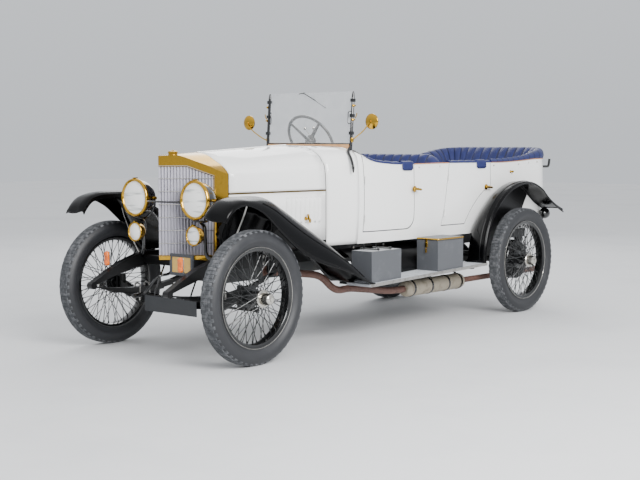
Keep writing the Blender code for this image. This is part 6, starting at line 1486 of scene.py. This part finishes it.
# Wings: beaten steel sheet, enamelled black and worn by stones, with a rounded crown, raised swages
# and an outer skirt rolled over a wire. Sheet aprons and panels close the inner sides.
CROWN_TABLE = ((0.0, 0.905), (0.05, 0.965), (0.13, 1.0), (0.22, 1.0), (0.31, 0.975), (0.40, 0.875),
               (0.48, 0.775),
               (0.60, 0.62), (0.72, 0.455), (0.84, 0.265), (0.93, 0.10), (1.0, 0.0))
DROP_TABLE = ((0.0, 0.06), (0.05, 0.07), (0.13, 0.08), (0.22, 0.16), (0.31, 0.30), (0.40, 0.36),
              (0.48, 0.375),
              (0.60, 0.34), (0.72, 0.25), (0.84, 0.15), (0.93, 0.08), (1.0, 0.04))
WING_FRONT, WING_REAR, WING_TOP = -0.330, 1.190, 1.112
WING_INNER, WING_OUTER = 0.600, 0.800
REACH_TABLE = ((60.0, 0.650), (75.0, 0.640), (100.0, 0.618), (130.0, 0.612), (180.0, 0.610))
SINK_TABLE = ((60.0, 0.0), (75.0, 0.0), (92.0, 0.026), (113.0, 0.058), (130.0, 0.080),
              (154.0, 0.060), (180.0, 0.040))

# Worn wing enamel: the darkest black, with weak highlights broken by stone wear.
wing_black = weathered("worn_wing_enamel", "030304", "111214", 0.07, 0.20, 0.46, 0.004, 0.00006,
                       0.30,
                       Specular_IOR_Level=0.16)


def board_level(distance):
    """Top of the sloping running board."""
    return 0.435 + 0.040 * (distance - 1.150) / 1.550


def wing_row(points, steps=22):
    """A soft curve through (x, y, z) points of a wing's section."""
    last = len(points) - 1
    row = []
    for step in range(steps + 1):
        value = last * step / steps
        row.append(Vector([smooth(tuple((k, p[axis]) for k, p in enumerate(points)), value)
                           for axis in range(3)]))
    return row


rows = []
end = board_level(WING_REAR) + 0.0168
for step in range(61):
    share = step / 60
    y = WING_FRONT + (WING_REAR - WING_FRONT) * share
    crown = end + (WING_TOP - end) * smooth(CROWN_TABLE, share)
    low_limit = board_level(y) + 0.0021
    edge = max(crown - (WING_TOP - end) * smooth(DROP_TABLE, share), low_limit)
    apron = min(max((y - 0.330) / 0.080, 0.0), 1.0)
    inner_foot = max(crown - 0.045, low_limit)
    foot_z = inner_foot + (min(0.690, inner_foot) - inner_foot) * apron
    foot_x = WING_INNER + (0.425 - WING_INNER) * apron
    tip = max(0.0, 1.0 - share / 0.05)
    inner_row = [at(foot_x + (WING_INNER - foot_x) * k / 5, y,
                    foot_z + (crown - 0.018 - foot_z) * k / 5) for k in range(5)]
    row = wing_row([at(WING_INNER, y, crown - 0.018), at(0.622, y, crown - 0.003),
                    at(0.660, y, crown + 0.001),
                    at(0.735, y, crown - (crown - edge) * 0.12),
                    at(0.782, y, crown - (crown - edge) * 0.45),
                    at(WING_OUTER - 0.001, y, edge)])
    rows.append([p + Vector((0, 0.012 * tip * abs(k - 13) / 13, -0.022 * tip ** 2))
                 for k, p in enumerate(inner_row + row)])
nose = []
for k in range(4, 0, -1):
    turn = math.pi / 2 * k / 4
    row = []
    for p in rows[0]:
        hang = (0.062 - 0.028 * min(abs(p.x - 0.70) / 0.09, 1.2) ** 2) * math.sin(turn) ** 1.2
        row.append(p + Vector((0, -0.016 * math.sin(turn), -hang)))
    nose.append(row)
rows = nose + rows
both_sides(skin(rows, facing=(0.4, 0, 1)), "front_wing_sheet_{}", wing_black, "chassis",
           ("fender_front_{}",),
           slot="black_paint", sheet=0.0025, crease=50.0)
edge_line = [row[-1] + Vector((-0.002, 0, 0.002)) for row in rows[::2]]
front_edge = [p + Vector((0, -0.001, 0)) for p in reversed(rows[0][1::3])]
both_sides(joined(tube(edge_line, 0.0055, sides=8, bend=1),
                  tube([edge_line[0], *front_edge[1:]], 0.0055, sides=8, bend=1)),
           "front_wing_rolled_edge_{}", wing_black, "chassis", slot="black_paint")
swage = [row[-6] + Vector((0.001, 0, 0.002)) for row in rows[18:62:2]]
both_sides(tube(swage, 0.0035, sides=6, bend=1), "front_wing_swage_{}", wing_black, "chassis",
           slot="black_paint")
rib = [row[5] + Vector((0, 0, 0.001)) for row in rows[20:62:2]]
both_sides(tube(rib, 0.003, sides=6, bend=1), "front_wing_inner_bead_{}", wing_black, "chassis",
           slot="black_paint")
apron = []
for k in range(13):
    y = -0.050 + 0.400 * k / 12
    high = rows[4 + round((y - WING_FRONT) / (WING_REAR - WING_FRONT) * 60)][0].z + 0.004
    low = 0.695 + 0.16 * max(0.0, (0.06 - y) / 0.11) ** 1.5
    apron.append([at(0.602 + (0.412 - 0.602) * t ** 0.9, y, high + (low - high) * t)
                  for t in (0.0, 0.2, 0.4, 0.6, 0.8, 1.0)])
both_sides(skin(apron, facing=(1, 0, 0.3)), "front_wing_apron_{}", wing_black, "chassis",
           slot="black_paint", sheet=0.002)
stay = tube([at(0.640, 0.03, 1.085), at(0.60, 0.02, 0.96), at(0.50, 0.015, 0.78),
             at(0.405, 0.01, 0.66)], 0.006, sides=8)
both_sides(stay, "front_wing_stay_{}", bare_steel, "chassis", slot="black_paint")

line = [(WING_CENTRE[0] - 0.610, board_level(2.650) + 0.0016)]
sinks = [0.0]
for step in range(46):
    angle = math.pi - (math.pi * 2 / 3) * step / 45
    reach = smooth(REACH_TABLE, math.degrees(angle))
    line.append((WING_CENTRE[0] + reach * math.cos(angle),
                 WING_CENTRE[1] + reach * math.sin(angle)))
    sinks.append(smooth(SINK_TABLE, math.degrees(angle)))
last_y, last_z = line[-1]
for step in range(1, 13):
    share = step / 12
    line.append((last_y + (3.945 - last_y) * share,
                 last_z + (0.872 - last_z) * share - 0.022 * math.sin(math.pi * share)))
    sinks.append(0.0)
rows, beads = [], ([], [], [])
for i, (y, z) in enumerate(line):
    run = Vector(line[min(i + 1, len(line) - 1)]) - Vector(line[max(i - 1, 0)])
    run.normalize()
    inward = Vector((run.y, -run.x))
    late = max(0.0, (i - 46) / 12)
    sink = sinks[i]
    section = ((0.5995, 0.022 + sink), (0.6005, 0.010 + sink), (0.620, 0.002 + sink * 0.8),
               (0.665, sink * 0.35),
               (0.735, 0.0), (0.782, 0.006), (WING_OUTER - 0.001, 0.020 + 0.016 * late))
    spots = [at(x, y + inward.x * depth, z + inward.y * depth) for x, depth in section]
    row = [spots[0]] + wing_row(spots[1:])
    rows.append(row)
    for bead, index in zip(beads, (-1, -5, -9)):
        bead.append(row[index] - Vector((0, inward.x, inward.y)) * 0.001)
both_sides(skin(rows, facing=(0.5, 0, 1)), "rear_wing_sheet_{}", wing_black, "chassis",
           ("fender_rear_{}",),
           slot="black_paint", sheet=0.0025, crease=50.0)
both_sides(joined(tube(beads[0], 0.0055, sides=8, bend=1), tube(beads[1], 0.003, sides=6, bend=1),
                  tube(beads[2], 0.003, sides=6, bend=1),
                  tube(rows[-1][::4], 0.005, sides=8, bend=1)),
           "rear_wing_rolled_edges_{}", wing_black, "chassis", slot="black_paint")
arch_fill = [Vector((0.5985, row[0].y, row[0].z)) for row in rows[1:49]]
arch_fill += [at(0.5985, WING_CENTRE[0] + 0.20 * math.cos(a), WING_CENTRE[1] + 0.20 * math.sin(a))
              for a in (math.pi * (0.27 + 0.73 * k / 24) for k in range(25))]
both_sides(prism(arch_fill, (0.006, 0, 0)), "rear_wing_inner_panel_{}", chassis_paint, "chassis",
           slot="black_paint",
           crease=40.0)


# Running boards: wooden boards faced with worn grey aluminium, edged with a bright strip, hung from
# the frame brackets over black valances. A battery box and a lidded tool box stand on the left one.
BOARD_NEAR, BOARD_FAR = 1.150, 2.700

# Worn aluminium facing: a pale grey tread, scuffed darker where feet land.
board_metal = weathered("worn_grey_board_facing", "b4b7bb", "83868a", 0.05, 0.4, 0.6, 0.004,
                        0.00025, 0.5)
# Box paint: a mid grey with a soft sheen on its flat sides.
box_paint = weathered("grey_box_paint", "4c4e52", "606266", 0.10, 0.36, 0.5, 0.002, 0.00006, 0.45)
# Box top: lighter and duller than the sides.
box_top = weathered("light_grey_box_top", "9a9c9f", "7c7e81", 0.06, 0.42, 0.6, 0.002, 0.0001)


def box_side(near, far, top):
    """Inner side outline of a box that stands on the sloping board."""
    return [at(0.571, y, z)
            for y, z in ((near, board_level(near) + 0.001), (far, board_level(far) + 0.001),
                                         (far, top), (near, top))]


near_level, far_level = board_level(BOARD_NEAR), board_level(BOARD_FAR)
board_side = [at(0.562, y, z) for y, z in ((BOARD_NEAR, near_level), (BOARD_FAR, far_level),
                                           (BOARD_FAR, far_level - 0.020),
                                           (BOARD_NEAR, near_level - 0.020))]
both_sides(prism(board_side, (0.228, 0, 0)), "running_board_facing_{}", board_metal, "chassis",
           ("running_board_{}",),
           slot="board_grey", round_off=0.002)
rib_level = board_level(BOARD_NEAR + 0.01)
ribs = [prism([at(x, BOARD_NEAR + 0.01, rib_level - 0.001),
               at(x + 0.008, BOARD_NEAR + 0.01, rib_level - 0.001),
               at(x + 0.008, BOARD_NEAR + 0.01, rib_level + 0.0018),
               at(x, BOARD_NEAR + 0.01, rib_level + 0.0018)],
              (0, BOARD_FAR - BOARD_NEAR - 0.02, board_level(BOARD_FAR - 0.01) - rib_level))
        for x in (0.575 + 0.0205 * k for k in range(10))]
both_sides(joined(*ribs), "running_board_ribs_{}", board_metal, "chassis", slot="board_grey")
strip = prism([at(0.788, BOARD_NEAR, near_level - 0.021),
               at(0.7945, BOARD_NEAR, near_level - 0.021),
               at(0.7945, BOARD_NEAR, near_level + 0.002),
               at(0.788, BOARD_NEAR, near_level + 0.002)],
              (0, BOARD_FAR - BOARD_NEAR, 0.040))
both_sides(strip, "running_board_edge_{}", bare_steel, "chassis", slot="board_grey",
           round_off=0.001)
rows = []
for y in (1.255, 1.70, 2.20, BOARD_FAR):
    low = board_level(y) - 0.010
    rows.append([at(0.566, y, low), at(0.560, y, low + 0.05), at(0.500, y, 0.62),
                 at(0.413, y, 0.664)])
both_sides(skin(rows, facing=(1, 0, 0.5)), "running_board_valance_{}", chassis_paint, "chassis",
           slot="black_paint", sheet=0.002)

battery = prism(box_side(1.20, 1.56, 0.668), (0.188, 0, 0))
top_face = max(battery.faces, key=lambda face: face.calc_center_median().z)
bmesh.ops.inset_region(battery, faces=[top_face], thickness=0.008, depth=0.0)
bmesh.ops.inset_region(battery, faces=[top_face], thickness=0.001, depth=-0.002)
top_face.material_index = 1
set_shape(battery, "battery_box_sheet", (box_paint, box_top), "chassis", ("battery_box",),
          slot="dark_box", round_off=0.002)
clamp_bars = []
for y in (1.308, 1.452):
    clamp_bars += [tube([at(0.572, y, 0.676), at(0.745, y, 0.676)], 0.0055, sides=8),
                   tube([at(0.600, y, 0.668), at(0.600, y, 0.712)], 0.004, sides=8),
                   tube([at(0.735, y, 0.668), at(0.735, y, 0.690)], 0.004, sides=8),
                   spun([(0.0, 0.0), (0.009, 0.0), (0.009, 0.007), (0.0, 0.007)],
                        at(0.735, y, 0.680), (0, 0, 1), 6)]
set_shape(joined(*clamp_bars), "battery_clamps", japan, "chassis", slot="black_paint")

chest = prism(box_side(2.02, 2.37, 0.696), (0.203, 0, 0))
top_face = max(chest.faces, key=lambda face: face.calc_center_median().z)
bmesh.ops.inset_region(chest, faces=[top_face], thickness=0.006, depth=0.0)
bmesh.ops.inset_region(chest, faces=[top_face], thickness=0.0005, depth=-0.19)
set_shape(chest, "tool_box_sheet", box_paint, "chassis", ("tool_box",), slot="dark_box",
          round_off=0.0015)
set_shape(block(at(0.5705, 2.019, 0.698), at(0.7755, 2.371, 0.7155)), "tool_box_lid_sheet",
          box_paint, "tool_lid",
          ("tool_box_lid",), slot="dark_box", round_off=0.003)
trim = tube([at(0.574, 2.0195, 0.7075), at(0.772, 2.0195, 0.7075), at(0.7755, 2.023, 0.7075),
             at(0.7755, 2.367, 0.7075),
             at(0.772, 2.3705, 0.7075)], 0.0062, sides=8, bend=2)
set_shape(trim, "tool_box_lid_beading", brass, "tool_lid", slot="tan_wood")
hasp = joined(block(at(0.655, 2.010, 0.640), at(0.675, 2.0195, 0.682)),
              block(at(0.660, 2.006, 0.600), at(0.670, 2.016, 0.634)),
              spun([(0.0, 0.0), (0.009, 0.0), (0.009, 0.006), (0.0, 0.008)],
                   at(0.665, 2.0195, 0.648), (0, -1, 0), 16))
set_shape(hasp, "tool_box_hasp", brass, "chassis", slot="brass", round_off=0.0015)
set_shape(block(at(0.657, 2.011, 0.684), at(0.673, 2.018, 0.712)), "tool_box_lid_latch", brass,
          "tool_lid", slot="brass",
          round_off=0.001)


# Exhaust: a rusty drawn pipe from the engine's left side, a banded silencer under the board and a
# tail pipe, on three hangers.

# Rusty pipe: a dry red-brown with no shine.
rust = weathered("rusty_exhaust_pipe", "6b4d43", "4a3731", 0.04, 0.6, 0.8, 0.002, 0.0003)
# Scaled silencer sheet: pale grey-brown patches burnt by the heat.
silencer_skin = weathered("scaled_silencer_sheet", "9b9281", "6d6353", 0.06, 0.5, 0.7, 0.002,
                          0.0002)

ENGINE_FRONT, ENGINE_LENGTH = 0.250, 1.250
root_y = ENGINE_FRONT + ENGINE_LENGTH / 3
knee_y = ENGINE_FRONT + ENGINE_LENGTH / 2
pipe = joined(tube([at(0.201, root_y, 0.532), at(0.235, root_y, 0.532), at(0.380, knee_y, 0.510),
                    at(0.430, 1.010, 0.490),
                    at(0.470, 1.130, 0.365), at(0.470, 1.300, 0.372), at(0.470, 1.80, 0.302),
                    at(0.470, 2.02, 0.300)], 0.027,
                   sides=20, bend=10),
              tube([at(0.470, 2.74, 0.300), at(0.470, 4.03, 0.300)], 0.0235, sides=20),
              spun([(0.026, 0.0), (0.046, 0.0), (0.046, 0.010), (0.026, 0.010)],
                   at(0.2015, root_y, 0.532), (1, 0, 0), 24, closed=True))
set_shape(pipe, "exhaust_pipe", rust, "chassis", ("exhaust",), slot="exhaust_steel")
drum = spun([(0.0, 1.980), (0.046, 1.980), (0.058, 1.990), (0.065, 2.012), (0.065, 2.748),
             (0.058, 2.770), (0.046, 2.780),
             (0.0, 2.780)], at(0.470, 0.0, 0.300), (0, 1, 0), 40)
set_shape(drum, "silencer_drum", silencer_skin, "chassis", slot="exhaust_steel")
bands = [spun([(0.064, y - 0.012), (0.068, y - 0.010), (0.068, y + 0.010), (0.064, y + 0.012)],
              at(0.470, 0.0, 0.300), (0, 1, 0), 40,
              closed=True) for y in (2.06, 2.30, 2.54, 2.72)]
for y in (2.06, 2.72, 3.99):
    bands.append(tube([at(0.470, y, 0.365 if y < 3 else 0.322), at(0.380, y, 0.42),
                       at(0.380, y, 0.598)], 0.008, sides=8))
set_shape(joined(*bands), "silencer_bands_and_hangers", japan, "chassis", slot="black_paint")


# Tail: black ball-shaped tail lamps with red lenses on short brackets, and black angled hood rests.

# Ruby glass: a small dark red disc under a wet gloss.
ruby = weathered("ruby_lens", "7d0d0d", "6b0808", 0.02, 0.12, 0.2, 0.003, 0.0002, Coat_Weight=0.8)

ball = at(0.640, 3.870, 0.822)
shell_curve = [(0.0, -0.048), (0.016, -0.046), (0.032, -0.037), (0.043, -0.022), (0.048, -0.004),
               (0.049, 0.012), (0.047, 0.026),
               (0.043, 0.028), (0.0, 0.028)]
both_sides(joined(spun(shell_curve, ball, (0, 1, 0), 32),
                  tube([ball + Vector((0, 0, -0.03)), at(0.620, 3.860, 0.765),
                        at(0.562, 3.850, 0.750)], 0.008)),
           "tail_lamp_{}", japan, "chassis", slot="black_paint")
both_sides(spun([(0.0, 0.034), (0.020, 0.033), (0.036, 0.031), (0.041, 0.028), (0.0, 0.028)], ball,
                (0, 1, 0), 32),
           "tail_lamp_lens_{}", ruby, "chassis", slot="glass")
both_sides(joined(tube([at(0.448, 4.045, 1.238), at(0.490, 4.115, 1.236), at(0.520, 4.142, 1.236),
                        at(0.525, 4.146, 1.258), at(0.530, 4.147, 1.306)],
                       0.0115, sides=10),
                  spun([(0.0, 0.0), (0.020, 0.0), (0.018, 0.006), (0.0, 0.008)],
                       at(0.452, 4.050, 1.238), (0.7, 0.7, 0), 20)),
           "hood_rest_{}", japan, "chassis", slot="black_paint")
